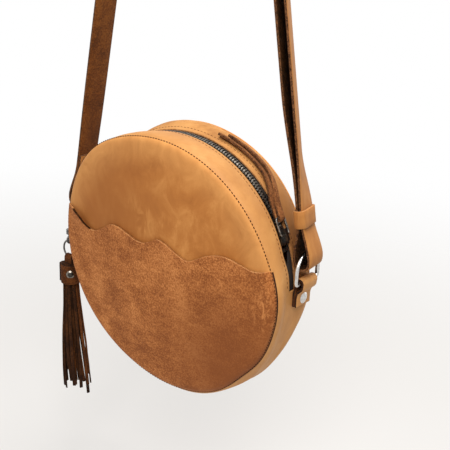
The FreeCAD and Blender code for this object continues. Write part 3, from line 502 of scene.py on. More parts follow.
class Finishes:
    """Every material of the bag, built once."""

    def __init__(self) -> None:
        """Build the materials."""
        # Panel: painted shade on the upper left; at the rim a painted highlight with some burnish
        self.panel = Nubuck(
            "tan_nubuck", (0.325, 0.107, 0.020), (0.446, 0.163, 0.034), (0.64, 0.285, 0.078),
            mottle=0.45, brushed=Spot(-2.0, 40.0, 46.0, 26.0),
            shaded=Spot(-62.0, 50.0, 95.0, 80.0), rim=0.7).material()
        self.side = Nubuck(
            "side_nubuck", (0.40, 0.168, 0.046), (0.51, 0.235, 0.069), (0.62, 0.315, 0.104),
            streak=0.2, rough=0.62, gloss=0.28).material()
        self.strap = Nubuck(
            "strap_grain", (0.31, 0.115, 0.026), (0.40, 0.160, 0.038), (0.50, 0.225, 0.062),
            streak=0.5).material()
        # Shaded copy of the side leather for the rear strip: a darker deep colour and painted shade
        # on its right
        self.shaded_rear_side = Nubuck(
            "shaded_rear_side_nubuck", (0.26, 0.100, 0.025), (0.51, 0.235, 0.069), (0.62, 0.315, 0.104),
            streak=0.2, shaded=Spot(86.0, 40.0, 62.0, 66.0)).material()
        # Pocket: painted shade towards the lower right and a painted crease shadow; the rubbed mark
        # is wear
        self.pocket = Suede(
            "pocket_suede", (0.232, 0.067, 0.016), (0.415, 0.141, 0.037), (0.59, 0.230, 0.069),
            shaded=Spot(84.0, -66.0, 108.0, 96.0), shade=0.74,
            rubbed=Spot(99.0, -3.0, 12.0, 22.0), crease_shadow=Spot(67.0, -69.0, 30.0, 15.0)).material()
        self.thong = Suede(
            "thong_suede", (0.105, 0.033, 0.009), (0.225, 0.080, 0.023), (0.36, 0.145, 0.046),
            patch=70.0).material()
        self.flesh = Suede(
            "flesh_side", (0.075, 0.021, 0.003), (0.140, 0.041, 0.006), (0.20, 0.068, 0.012),
            patch=60.0).material()
        self.tassel = Suede(
            "chocolate_suede", (0.012, 0.0036, 0.0008), (0.034, 0.0105, 0.0022),
            (0.070, 0.0230, 0.0050), patch=90.0, sheen=0.0).material()
        self.band = Suede(
            "chocolate_band", (0.040, 0.0115, 0.0022), (0.088, 0.0255, 0.0050),
            (0.150, 0.0480, 0.0100), patch=90.0, sheen=0.0).material()
        self.edge = RawEdge(
            "raw_edge", (0.014, 0.0045, 0.0015), (0.25, 0.098, 0.034), fibre=1300.0).material()
        # Painted shadow: near-black flesh-side leather with faint pale fibres, put where the
        # strap's layers and the pocket's gaping mouth lie in shade
        self.shadow = RawEdge(
            "painted_shadow_inside", (0.0030, 0.0012, 0.0005), (0.075, 0.0290, 0.0100), fibre=1100.0,
            gloss=0.03).material()
        self.pale_edge = RawEdge(
            "pale_cut_edge", (0.31, 0.115, 0.034), (0.58, 0.290, 0.112)).material()
        # Dark cut edge, also used as painted shade in the groove by the front seam
        self.dark_edge = RawEdge(
            "dark_cut_edge_and_groove_shade", (0.012, 0.004, 0.002), (0.070, 0.025, 0.009)).material()
        self.nickel = Metal(
            "polished_nickel", (0.62, 0.61, 0.59), (0.45, 0.43, 0.41), 0.12).material()
        # Tassel rivet with painted shade in the middle of its eye
        self.eyed = Metal(
            "ringed_rivet", (0.30, 0.27, 0.23), (0.11, 0.095, 0.08), 0.20,
            Spot(-108.9, -37.5, 2.2, 3.0)).material()
        self.antique = Metal(
            "antique_nickel", (0.27, 0.245, 0.21), (0.060, 0.052, 0.044), 0.28).material()
        self.gunmetal = Metal(
            "dark_gunmetal", (0.15, 0.14, 0.13), (0.065, 0.06, 0.055), 0.22).material()
        self.tape = Tape("zip_tape", (0.008, 0.006, 0.005), (0.026, 0.018, 0.014)).material()
        self.dark_thread = Thread(
            "dark_thread", (0.030, 0.0105, 0.003), (0.085, 0.030, 0.009)).material()
        self.brown_thread = Thread(
            "brown_thread", (0.085, 0.026, 0.009), (0.18, 0.064, 0.022)).material()


# Shapes shared by the pieces


@dataclass(frozen=True)
class Swell:
    """A stretch of a rim where the soft leather stands out or draws in."""

    side: Side
    angle: float
    spread: float
    size: float

    def at(self, p: Vector) -> float:
        """How far the rim moves outwards at a point."""
        if self.side.value * p.y < 0:
            return 0.0
        turn = (bearing(p) - self.angle + 180.0) % 360.0 - 180.0
        return self.size * bell(turn / self.spread)


@dataclass(frozen=True)
class Shell:
    """The bag's outer form, in millimetres about its own centre."""

    radius: float = 105.0
    half_depth: float = 21.0
    leather: float = 2.0
    slope: float = math.tan(math.radians(5.5))
    zip_half: float = 5.0
    zip_end: float = 3.0
    front_crown: float = 8.2
    rear_crown: float = 4.2
    rear_flat: float = 52.0
    rim_turn: float = 6.0
    rim_drop: float = 2.7
    swells: tuple[Swell, ...] = (
        Swell(Side.FRONT, 132.0, 23.0, 3.8), Swell(Side.FRONT, 2.0, 15.0, 2.4),
        Swell(Side.FRONT, 317.0, 13.0, -3.0), Swell(Side.REAR, 104.0, 22.0, 3.4))
    swell_from: Point2 = (45.0, 100.0)
    slumps: tuple[Point3, ...] = ((4.2, -2.0, 26.0), (-3.0, -60.0, 27.0))
    slump_from: Point2 = (20.0, 85.0)

    def lean(self, p: Vector) -> Vector:
        """Move a point of the upright drum to the leaning bag, deeper at the top, rims uneven."""
        a = abs(p.y)
        shift = self.slope * p.z + self.slump(p)
        if a <= self.zip_half:
            return p.copy()
        if a <= self.half_depth:
            run = self.half_depth - self.zip_half
            a = self.zip_half + (a - self.zip_half) * (run + shift) / run
        else:
            a += shift
        grown = 1 + self.fullness(p) / self.radius
        return Vector((p.x * grown, math.copysign(a, p.y), p.z * grown))

    def slump(self, p: Vector) -> float:
        """How much deeper the rear's right side sits at a point: size, height and reach of each."""
        if p.y < self.zip_half or p.x < 0:
            return 0.0
        full = sum(size * bell((p.z - z) / reach) for size, z, reach in self.slumps)
        return full * ease(p.x, *self.slump_from)

    def fullness(self, p: Vector) -> float:
        """How far the rim nearest to a point is pushed out there."""
        grown = sum(swell.at(p) for swell in self.swells)
        outer = ease(math.hypot(p.x, p.z), *self.swell_from)
        return grown * outer * ease(abs(p.y), self.zip_half, self.half_depth - 4.0)

    def dome(self, r: float, side: Side) -> float:
        """Height of a panel's face over its seam plane.

        Args:
            r: distance from the panel's middle.
            side: front or rear.

        Returns:
            Millimetres outwards.
        """
        share = min(r / self.radius, 1.0)
        if side is Side.FRONT:
            crown = self.front_crown * (1 - share * share)
        else:
            inner = max(0.0, (r - self.rear_flat) / (self.radius - self.rear_flat))
            crown = self.rear_crown * (1 - inner * inner)
        turned = max(0.0, (r - (self.radius - self.rim_turn)) / self.rim_turn)
        return self.leather + crown - self.rim_drop * turned**3


SHELL = Shell()


def station(centre: Vector, across: Vector, outward: Vector) -> Matrix:
    """Frame of a swept section.

    Args:
        centre: middle of the section.
        across: direction of its width.
        outward: direction of its outer face.

    Returns:
        The frame as a matrix.
    """
    x = across.normalized()
    z = x.cross(outward).normalized()
    y = z.cross(x)
    frame = Matrix((x, y, z)).transposed().to_4x4()
    frame.translation = centre
    return frame


def smooth_path(points: Sequence[Vector], steps: int) -> list[Vector]:
    """Points of a smooth curve through a few given ones.

    Args:
        points: places that the curve passes through.
        steps: points per stretch.

    Returns:
        The curve's points.
    """
    ends = [points[0] * 2 - points[1], *points, points[-1] * 2 - points[-2]]
    curve = []
    for a, b, c, d in zip(ends, ends[1:], ends[2:], ends[3:]):
        square, cube = 2 * a - 5 * b + 4 * c - d, 3 * b - a - 3 * c + d
        for i in range(steps):
            t = i / steps
            curve.append(0.5 * (2 * b + (c - a) * t + square * t**2 + cube * t**3))
    curve.append(points[-1].copy())
    return curve


def tangents(points: Sequence[Vector]) -> list[Vector]:
    """Direction of a run of points at each of them."""
    before, after = [points[0], *points[:-1]], [*points[1:], points[-1]]
    return [(b - a).normalized() for a, b in zip(before, after)]


def stations_along(path: Sequence[Vector], across: Vector, sense: float = 1.0) -> list[Matrix]:
    """Frames of a strip that keeps its direction across, with its outer face on the given side."""
    return [station(p, across, along.cross(across) * sense)
            for p, along in zip(path, tangents(path))]


class Workpiece:
    """A mesh being made, in millimetres about the bag's centre."""

    def __init__(self, name: str) -> None:
        """Start an empty mesh."""
        self.name = name
        self.bm = bmesh.new()

    @classmethod
    def strip(cls, name: str, width: float, thick: float, soft: float, stations: Sequence[Matrix],
              paint: tuple[int, int, int] = (0, 1, 2)) -> Workpiece:
        """Sweep a leather strip with eased corners and paint its faces.

        Args:
            name: the piece's name.
            width: width of the strip.
            thick: thickness of the leather.
            soft: size of the eased corners.
            stations: frames along the strip.
            paint: material numbers of the outer face, the inner face and the cut edges.

        Returns:
            The piece being made.
        """
        w, t = width / 2, thick / 2
        top = [(-w + soft, t), (-w / 3, t), (w / 3, t), (w - soft, t)]
        side = [(w, t - soft * 0.6), (w, -t + soft * 0.6)]
        low = [(w - soft, -t), (w / 3, -t), (-w / 3, -t), (-w + soft, -t)]
        far = [(-w, -t + soft * 0.6), (-w, t - soft * 0.6)]
        work = cls(name)
        work.sweep(top + side + low + far, stations)
        work.paint_strip(t, *paint)
        return work

    def run(self, points: Sequence[Vector], closed: bool = False) -> list[bmesh.types.BMEdge]:
        """Add a run of edges through points.

        Args:
            points: the corners.
            closed: join the last to the first.

        Returns:
            The edges.
        """
        verts = [self.bm.verts.new(p) for p in points]
        pairs = list(zip(verts, verts[1:]))
        if closed:
            pairs.append((verts[-1], verts[0]))
        return [self.bm.edges.new(pair) for pair in pairs]

    def spin(self, profile: Sequence[Point2], start: float, end: float, steps: int,
             closed: bool) -> None:
        """Spin a section of radius and depth about the bag's Y axis.

        Args:
            profile: (radius, y) corners.
            start: first angle, from +X towards +Z.
            end: last angle.
            steps: count of segments.
            closed: the section is a closed loop.
        """
        edges = self.run([polar(r, math.radians(start), y) for r, y in profile], closed)
        geom = list(self.bm.verts) + edges
        whole = abs(end - start - 360.0) < 1e-6
        bmesh.ops.spin(self.bm, geom=geom, cent=(0, 0, 0), axis=(0, -1, 0), dvec=(0, 0, 0),
                       angle=math.radians(end - start), steps=steps, use_merge=whole,
                       use_duplicate=False)
        bmesh.ops.remove_doubles(self.bm, verts=self.bm.verts, dist=1e-4)
        if closed and not whole:
            self.cap()

    def cap(self) -> None:
        """Close every open end with a crisp edge."""
        rim = [e for e in self.bm.edges if e.is_boundary]
        bmesh.ops.holes_fill(self.bm, edges=rim, sides=0)
        for edge in rim:
            edge.smooth = False

    def sweep(self, section: Sequence[Point2], stations: Sequence[Matrix]) -> None:
        """Extrude a closed section from station to station.

        The corners keep their distance outwards as an attribute.

        Args:
            section: (across, outward) corners.
            stations: frames whose X is across, Y is outward and Z is along the piece.
        """
        layers = self.bm.verts.layers.float
        outward = layers.get("outward") or layers.new("outward")
        edges = self.run([stations[0] @ Vector((u, v, 0.0)) for u, v in section], closed=True)
        for edge, (_, v) in zip(edges, section):
            edge.verts[0][outward] = v
        bmesh.ops.contextual_create(self.bm, geom=edges)
        for here, following in zip(stations, stations[1:]):
            grown = bmesh.ops.extrude_edge_only(self.bm, edges=edges)["geom"]
            verts = [g for g in grown if isinstance(g, bmesh.types.BMVert)]
            edges = [g for g in grown
                     if isinstance(g, bmesh.types.BMEdge) and all(v in verts for v in g.verts)]
            bmesh.ops.transform(self.bm, matrix=following @ here.inverted(), verts=verts)
        bmesh.ops.contextual_create(self.bm, geom=edges)

    def move(self, rule: Callable[[Vector], Vector]) -> None:
        """Move every point by a rule."""
        for v in self.bm.verts:
            v.co = rule(v.co)

    def paint(self, rule: Callable[[bmesh.types.BMFace], int]) -> None:
        """Give each face the number of its material."""
        for face in self.bm.faces:
            face.material_index = rule(face)

    def paint_strip(self, half: float, outer: int, inner: int, edge: int) -> None:
        """Paint a swept strip by its outer face, inner face and cut edges.

        Args:
            half: half of the strip's thickness.
            outer: material number of the outer face.
            inner: material number of the inner face.
            edge: material number of the cut edges and ends.
        """
        layer = self.bm.verts.layers.float["outward"]

        def pick(face: bmesh.types.BMFace) -> int:
            values = [v[layer] for v in face.verts]
            if len(values) != 4 or max(values) - min(values) > half * 0.9:
                return edge
            middle = sum(values) / len(values)
            if abs(middle) < half * 0.8:
                return edge
            return outer if middle > 0 else inner

        self.paint(pick)

    def finish(self, body: Body, materials: Sequence[bpy.types.Material], slot: str,
               nodes: Sequence[str] = (), levels: int = 0) -> None:
        """Turn the mesh into a piece of the bag.

        Args:
            body: body that it rides on.
            materials: its materials, in the order of the faces' numbers.
            slot: the record's material slot; not used.
            nodes: CAD nodes that it stands for.
            levels: subdivision levels.
        """
        bmesh.ops.recalc_face_normals(self.bm, faces=self.bm.faces)
        self.move(to_frame)
        for face in self.bm.faces:
            face.smooth = True
        mesh = bpy.data.meshes.new(self.name)
        self.bm.to_mesh(mesh)
        self.bm.free()
        for material in materials:
            mesh.materials.append(material)
        piece = bpy.data.objects.new(self.name, mesh)
        bpy.context.scene.collection.objects.link(piece)
        if levels:
            smooth = piece.modifiers.new("smooth", "SUBSURF")
            smooth.levels = levels
            smooth.render_levels = levels
        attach(piece, body.value)
        if nodes:
            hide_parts(*nodes)
        LOG.info("%s: %d faces on %s", self.name, len(mesh.polygons), body.value)


@dataclass
class StitchLine:
    """A row of stitches along a path."""

    name: str
    path: Sequence[Vector]
    normals: Sequence[Vector]
    length: float = 2.0
    gap: float = 0.6
    thick: float = 0.42

    def build(self, body: Body, thread: bpy.types.Material, slot: str) -> None:
        """Sew the row.

        Args:
            body: body that it rides on.
            thread: the thread's material.
            slot: the record's material slot.
        """
        work = Workpiece(self.name)
        scale = Matrix.Diagonal((self.thick, self.thick * 0.8, self.length / 2, 1.0))
        pitch = self.length + self.gap
        travelled, following = 0.0, pitch / 2
        for i in range(len(self.path) - 1):
            a, b = self.path[i], self.path[i + 1]
            step = (b - a).length
            along = (b - a).normalized()
            while following <= travelled + step:
                share = (following - travelled) / step
                normal = self.normals[i].lerp(self.normals[i + 1], share)
                frame = station(a.lerp(b, share), normal.cross(along), normal)
                bmesh.ops.create_uvsphere(work.bm, u_segments=6, v_segments=5, radius=1.0,
                                          matrix=frame @ scale)
                following += pitch
            travelled += step
        work.finish(body, [thread], slot)


# Sub-assemblies


@dataclass
class Panels:
    """Front and rear discs, the slip pocket and their seams."""

    finishes: Finishes
    pocket_leather: float = 1.5
    pocket_turn: float = 7.0
    turns: int = 144
    radii: tuple[float, ...] = (0.0, 12.0, 26.0, 40.0, 54.0, 66.0, 77.0, 86.0, 93.0, 98.0, 101.0,
                                102.8, 103.8, 104.4)
    rim: Point2 = (SHELL.radius - 0.4, -0.9)
    disc_calm: Point2 = (90.0, 104.0)
    uneven: Point2 = (0.9, 46.0)
    napped: Point3 = (0.35, 17.0, 8.0)
    seed: float = 3.1
    front_inset: float = 0.6
    rear_inset: float = 2.2
    grid: tuple[int, int] = (170, 40)
    pocket_calm: Point2 = (88.0, 103.0)
    left_end: float = 31.6
    right_end: float = 27.1
    mouth: tuple[Point2, ...] = (
        (-99.5, 31.6), (-91.6, 30.6), (-82.3, 26.9), (-74.5, 20.2), (-65.6, 17.3), (-55.0, 22.1),
        (-45.0, 28.0), (-36.7, 28.8), (-26.7, 25.9), (-17.1, 22.8), (-9.0, 22.3), (-2.0, 25.0),
        (6.1, 29.0), (14.1, 27.2), (22.5, 23.0), (33.5, 19.2), (42.2, 22.5), (50.1, 26.9),
        (57.9, 29.5), (65.4, 30.5), (72.8, 29.6), (80.2, 27.4), (89.5, 25.0), (101.0, 27.1))
    lip: float = 0.5
    left_gape: float = 2.5
    gape_from: Point2 = (-97.0, -82.0)
    gape_to: Point2 = (-84.0, -62.0)
    gape_ends: Point2 = (0.0, 0.05)
    # Stretch of the mouth's cut edge painted as shadow, where the pocket gapes
    gape_shadow: Point2 = (-90.0, -69.0)

    def build(self) -> None:
        """Make the discs, the pocket and the seams."""
        for side in Side:
            self.disc(side)
        self.pocket()
        for side in Side:
            self.seam(side)

    def disc(self, side: Side) -> None:
        """Make one crowned disc with a turned rim."""
        node = f"{side.word}_panel"
        outline = [(x, SHELL.dome(x, side)) for x in self.radii] + [self.rim]
        outline += [(x, max(SHELL.dome(x, side) - SHELL.leather, -1.0))
                    for x in reversed(self.radii[:-3])]
        profile = [(x, side.value * (SHELL.half_depth + out)) for x, out in outline]
        work = Workpiece(f"{node}_leather")
        work.spin(profile, 0.0, 360.0, self.turns, False)

        def settle(p: Vector) -> Vector:
            q = SHELL.lean(p)
            calm = 1 - ease(math.hypot(p.x, p.z), *self.disc_calm)
            q.y += wobble(q, *self.uneven, self.seed * side.value) * calm
            return q

        work.move(settle)
        work.finish(Body.BAG, [self.finishes.panel], "panel_leather", [node], 1)

    def mouth_line(self) -> Callable[[float], float]:
        """Height of the pocket's mouth at any place across the bag."""
        curve = smooth_path([Vector((x, z, 0.0)) for x, z in self.mouth], 6)

        def height(x: float) -> float:
            for a, b in zip(curve, curve[1:]):
                if x <= b.x:
                    return a.y + (b.y - a.y) * max(0.0, (x - a.x) / (b.x - a.x))
            return curve[-1].y

        return height

    def pocket_out(self, r: float) -> float:
        """Height of the pocket's face over the seam plane, turned into the seam at the rim."""
        turned = max(0.0, (r - (SHELL.radius - self.pocket_turn)) / self.pocket_turn)
        return SHELL.dome(r, Side.FRONT) + 0.2 + (self.pocket_leather + 0.1) * (1 - turned**3)

    def gape(self, x: float, s: float, t: float) -> float:
        """How far the pocket stands off the panel, most at the mouth's left.

        Args:
            x: place across the bag.
            s: share of the way along the mouth.
            t: share of the way up from the rim to the mouth.

        Returns:
            Millimetres.
        """
        at_left = (1 - ease(x, *self.gape_to)) * ease(x, *self.gape_from)
        off_ends = ease(min(s, 1 - s), *self.gape_ends)
        return (self.lip * t**4 + self.left_gape * t**6 * at_left) * off_ends

    def pocket(self) -> None:
        """Make the suede pocket: a sheet between the lower rim and the wavy mouth."""
        r = SHELL.radius - 0.2
        left, right = math.asin(self.left_end / r), math.asin(self.right_end / r)
        near, far = -r * math.cos(left), r * math.cos(right)
        height = self.mouth_line()
        work = Workpiece("front_pocket_suede")
        along, up = self.grid
        bmesh.ops.create_grid(work.bm, x_segments=along, y_segments=up, size=1.0)
        mouth = work.bm.verts.layers.float.new("mouth")
        for v in work.bm.verts:
            s, t = (v.co.x + 1) / 2, 1 - (1 - (v.co.y + 1) / 2) ** 1.5
            x = near + (far - near) * s
            low = polar(r, math.pi - left + s * (math.pi + left + right))
            p = low.lerp(Vector((x, 0.0, height(x))), t)
            distance = math.hypot(p.x, p.z)
            p.y = -(SHELL.half_depth + self.pocket_out(distance) + self.gape(x, s, t))
            q = SHELL.lean(p)
            calm = 1 - ease(distance, *self.pocket_calm)
            q.y += (wobble(q, *self.uneven, -self.seed) + wobble(q, *self.napped)) * calm
            v.co = q
            v[mouth] = t
        bmesh.ops.remove_doubles(work.bm, verts=work.bm.verts, dist=1e-3)
        bmesh.ops.recalc_face_normals(work.bm, faces=work.bm.faces)
        wrong = [f for f in work.bm.faces if f.normal.y > 0]
        bmesh.ops.reverse_faces(work.bm, faces=wrong)
        sheet = set(work.bm.faces)
        bmesh.ops.solidify(work.bm, geom=list(work.bm.faces), thickness=self.pocket_leather)

        def pick(face: bmesh.types.BMFace) -> int:
            below = min(v[mouth] for v in face.verts) < 0.99
            if face in sheet or abs(face.normal.y) > 0.6 or below:
                return 0
            # Painted shadow on the mouth's edge where the pocket gapes; elsewhere the pale cut edge
            start, end = self.gape_shadow
            return 2 if start < face.calc_center_median().x < end else 1

        work.paint(pick)
        f = self.finishes
        work.finish(Body.BAG, [f.pocket, f.pale_edge, f.shadow], "pocket_suede", ["front_pocket"])

    def seam(self, side: Side) -> None:
        """Sew the stitches round one disc's rim."""
        path, normals = [], []
        r = SHELL.radius - (self.front_inset if side is Side.FRONT else self.rear_inset)
        for i in range(361):
            turn = math.radians(i - 90.0)
            on_pocket = side is Side.FRONT and r * math.sin(turn) < self.right_end
            out = self.pocket_out(r) - 0.3 if on_pocket else SHELL.dome(r, side) + 0.05
            path.append(SHELL.lean(polar(r, turn, side.value * (SHELL.half_depth + out))))
            normals.append(polar(0.7, turn, side.value).normalized())
        line = StitchLine(f"{side.word}_seam_stitches", path, normals)
        line.build(Body.BAG, self.finishes.dark_thread, "panel_leather")


@dataclass
class SideWall:
    """Leather strips beside the zip, the lower gusset, the zip tapes and their stitches."""

    finishes: Finishes
    inner: float = SHELL.radius - SHELL.leather
    steps: int = 180
    crown: float = 1.0
    crown_from: Point2 = (32.0, 75.0)
    uneven: Point3 = (0.7, 34.0, 5.0)
    # Painted shade: faces this far forward, below the top height, take the dark edge leather in the
    # groove by the front seam
    groove_shade_depth: float = 19.6
    groove_shade_top: float = 26.0
    thong_room: float = 0.6
    thong_from: Point2 = (160.0, 172.0)
    thong_to: Point2 = (200.0, 212.0)
    thong_edge: Point2 = (6.0, 9.0)
    drawn: float = 3.0
    drawn_to: Point2 = (9.0, 19.0)
    drawn_edge: Point2 = (5.0, 12.0)
    tape_steps: int = 150
    tape_move: float = 2.95
    tape_low: Point2 = (13.0, 19.0)
    tape_high: Point2 = (173.0, 175.5)
    tape_edge: Point2 = (3.3, 8.0)
    stitch_y: float = 7.6
    skin: tuple[Point2, ...] = (
        (-1.7, 20.9), (-1.1, 20.3), (-0.2, 19.2), (0.45, 17.6), (0.85, 15.6), (0.95, 13.2),
        (0.8, 11.0), (0.55, 9.2), (0.3, 7.6), (0.1, 6.4), (0.0, 5.6))

    def build(self) -> None:
        """Make the strips, the tapes and the stitches."""
        for side in Side:
            self.placket(side)
        self.gusset()
        for side in Side:
            self.tape(side)
        for side in Side:
            self.zip_stitches(side)

    def draw_in(self, p: Vector) -> Vector:
        """Bring the front strip over the zip's lower end."""
        angle = bearing(p)
        if angle < SHELL.zip_end - 0.1 or p.y > 0:
            return p
        share = (1 - ease(angle, *self.drawn_to)) * (1 - ease(-p.y, *self.drawn_edge))
        return p + Vector((0.0, self.drawn * share, 0.0))

    def settle(self, p: Vector) -> Vector:
        """Lean a point of the side wall and let the leather swell unevenly."""
        p = self.draw_in(p)
        out = Vector((p.x, 0.0, p.z)).normalized()
        a = abs(p.y)
        below = ease(-p.z, *self.crown_from)
        loose = max(below, ease(a, SHELL.zip_half, SHELL.zip_half + 4.0))
        loose *= 1 - ease(a, SHELL.half_depth - 3.0, SHELL.half_depth)
        lift = wobble(p, *self.uneven) * loose
        lift += self.crown * below * (1 - (a / SHELL.half_depth) ** 2)
        turn = bearing(p) % 360.0
        by_thong = ease(turn, *self.thong_from) * (1 - ease(turn, *self.thong_to))
        lift -= self.thong_room * by_thong * ease(p.y, *self.thong_edge)
        return SHELL.lean(p + out * lift)

    def placket(self, side: Side) -> None:
        """Make one strip between a disc's seam and the zip."""
        r, inner = SHELL.radius, self.inner
        outline = [(r + lift, y) for lift, y in self.skin]
        outline += [(r - 0.35, 5.05), (inner + 0.4, 5.0), (inner + 0.05, 5.4), (inner, 9.0),
                    (inner, 16.0), (inner, 20.6)]
        work = Workpiece(f"{side.word}_placket_leather")
        end = SHELL.zip_end
        work.spin([(x, side.value * y) for x, y in outline], end, 180.0 - end, self.steps, True)

        def pick(face: bmesh.types.BMFace) -> int:
            if len(face.verts) == 4 and max(abs(v.co.y) for v in face.verts) < 5.2:
                return 1
            # Painted shade in the groove by the front seam, on the lower part of the front strip
            middle = face.calc_center_median()
            return 2 if middle.y < -self.groove_shade_depth and middle.z < self.groove_shade_top else 0

        work.paint(pick)
        work.move(self.settle)
        f = self.finishes
        # The rear strip takes the shaded copy of the side leather
        leather = f.side if side is Side.FRONT else f.shaded_rear_side
        work.finish(Body.BAG, [leather, f.pale_edge, f.dark_edge], "side_leather",
                    [f"{side.word}_zip_placket"])

    def gusset(self) -> None:
        """Make the strip that closes the lower half of the side."""
        r, inner = SHELL.radius, self.inner
        half = [(r + lift, y) for lift, y in self.skin] + [(r, 2.8)]
        low = [(inner, 20.6), (inner, 10.0), (inner, 0.0)]
        outline = half + [(r, 0.0)] + [(x, -y) for x, y in reversed(half)]
        outline += [(x, -y) for x, y in low] + list(reversed(low[:-1]))
        work = Workpiece("bottom_gusset_leather")
        end = SHELL.zip_end
        work.spin(outline, 180.0 - end, 360.0 + end, self.steps, True)
        # Painted shade along the groove by the front seam
        work.paint(lambda f: 1 if f.calc_center_median().y < -self.groove_shade_depth else 0)
        work.move(self.settle)
        work.finish(Body.BAG, [self.finishes.side, self.finishes.dark_edge], "side_leather",
                    ["bottom_gusset"])

    def tape(self, side: Side) -> None:
        """Make one zip tape with the beaded edge that the teeth clamp."""
        s = side.value
        top = self.inner - 0.2
        outline = [(top, 14.0), (top, 6.0), (top - 0.1, 4.0), (top + 0.2, 3.3), (top - 0.3, 3.15),
                   (top - 0.9, 3.3), (top - 0.8, 4.0), (top - 0.7, 14.0)]
        work = Workpiece(f"{side.word}_zip_tape")
        end = SHELL.zip_end
        work.spin([(x, s * y) for x, y in outline], end, 180.0 - end, self.tape_steps, True)

        def meet(p: Vector) -> Vector:
            angle = bearing(p)
            closed = 1 - ease(angle, *self.tape_low) + ease(angle, *self.tape_high)
            edge = 1 - ease(abs(p.y), *self.tape_edge)
            return Vector((p.x, p.y - s * self.tape_move * closed * edge, p.z))

        work.move(meet)
        work.finish(Body.BAG, [self.finishes.tape], "zip_tape", [f"zip_tape_{side.word}"])

    def zip_stitches(self, side: Side) -> None:
        """Sew the line beside the zip on one strip."""
        path, normals = [], []
        for i in range(171):
            turn = math.radians(5.0 + i)
            depth = side.value * self.stitch_y
            path.append(self.settle(polar(SHELL.radius + 0.28, turn, depth)))
            normals.append(polar(1.0, turn))
        line = StitchLine(f"{side.word}_zip_stitches", path, normals, 2.3, 1.0, 0.36)
        line.build(Body.BAG, self.finishes.brown_thread, "side_leather")


@dataclass
class Pull:
    """Leather thong on the slider's ring.

    The tails' stops are an angle round the bag, a lift over its side and a depth.
    """

    finishes: Finishes
    eye_radius: float = 107.1
    bar: float = 13.0
    slider_angle: float = 26.0
    wire: float = 1.6
    width: float = 5.4
    thick: float = 2.1
    tilt: float = 0.4
    tilt_from: Point2 = (40.0, 52.0)
    low: tuple[Point3, ...] = (
        (77.0, 3.2, 12.4), (72.0, 2.7, 12.8), (64.0, 2.6, 13.0), (56.0, 2.6, 12.6),
        (50.0, 2.4, 11.0), (44.5, 2.2, 6.8), (39.0, 1.7, 1.6))
    bend: tuple[Point2, ...] = ((0.7, -1.4), (-0.75, -0.8), (-1.15, 0.0), (-0.75, 0.8), (0.7, 1.4))
    high: tuple[Point3, ...] = (
        (39.2, 2.7, 5.6), (44.5, 2.6, 11.6), (50.0, 3.0, 16.0), (56.0, 3.2, 17.8),
        (64.0, 3.1, 18.2), (70.0, 3.2, 18.0), (74.0, 3.6, 17.4))

    def build(self) -> None:
        """Make the thong as one folded strip with two tails."""
        lift = math.hypot(self.eye_radius, self.bar) - SHELL.radius
        angle = self.slider_angle + math.degrees(math.atan2(self.bar, self.eye_radius))
        fold = self.wire / 2 + 0.1 + self.thick / 2
        bend = [(angle + a, lift + fold * math.sin(b), 0.0) for a, b in self.bend]
        stops = [*self.low, *bend, *self.high]
        path = smooth_path([polar(SHELL.radius + h, math.radians(a), y) for a, h, y in stops], 6)
        stations = []
        for p, along in zip(path, tangents(path)):
            across = Vector((0.0, 1.0, 0.0))
            across = (across - along * across.dot(along)).normalized()
            outward = across.cross(along)
            sense = math.copysign(1.0, outward.dot(Vector((p.x, 0.0, p.z))))
            across -= outward * sense * self.tilt * ease(bearing(p), *self.tilt_from)
            stations.append(station(p, across, across.cross(along)))
        work = Workpiece.strip("pull_thong_leather", self.width, self.thick, 0.45, stations)
        f = self.finishes
        work.finish(Body.PULL, [f.thong, f.thong, f.edge], "thong_leather", ["pull_thong"])


@dataclass
class Tabs:
    """Folded leather tabs that hold the rings."""

    finishes: Finishes
    ring_x: float = 110.5
    bar_z: float = 13.0
    width: float = 18.0
    thick: float = 2.0
    inner: float = 106.3
    outer: float = 108.4
    grip: float = 2.95
    low: float = -6.0

    def build(self) -> None:
        """Make both tabs."""
        self.tab("right_tab", 1.0, 10.0)
        self.tab("left_tab", -1.0, 0.0)

    def tab(self, node: str, side: float, depth: float) -> None:
        """Fold one tab round its ring's bar."""
        inner, outer, grip, x, z = self.inner, self.outer, self.grip, self.ring_x, self.bar_z
        turns = [math.radians(195 - 30 * i) for i in range(8)]
        line = [(inner, self.low), (inner, -1.0), (inner, 3.0), (inner + 0.5, 7.0),
                (x - grip - 0.1, 10.4)]
        line += [(x + grip * math.cos(a), z + grip * math.sin(a)) for a in turns]
        line += [(x + 2.1, 8.6), (outer + 1.2, 5.4), (outer + 0.1, 2.0), (outer, -2.0),
                 (outer, self.low)]
        path = smooth_path([Vector((side * a, depth, b)) for a, b in line], 4)
        frames = stations_along(path, Vector((0.0, 1.0, 0.0)), side)
        work = Workpiece.strip(f"{node}_leather", self.width, self.thick, 0.4, frames)
        f = self.finishes
        work.finish(Body.BAG, [f.side, f.flesh, f.dark_edge], "tab_leather", [node])


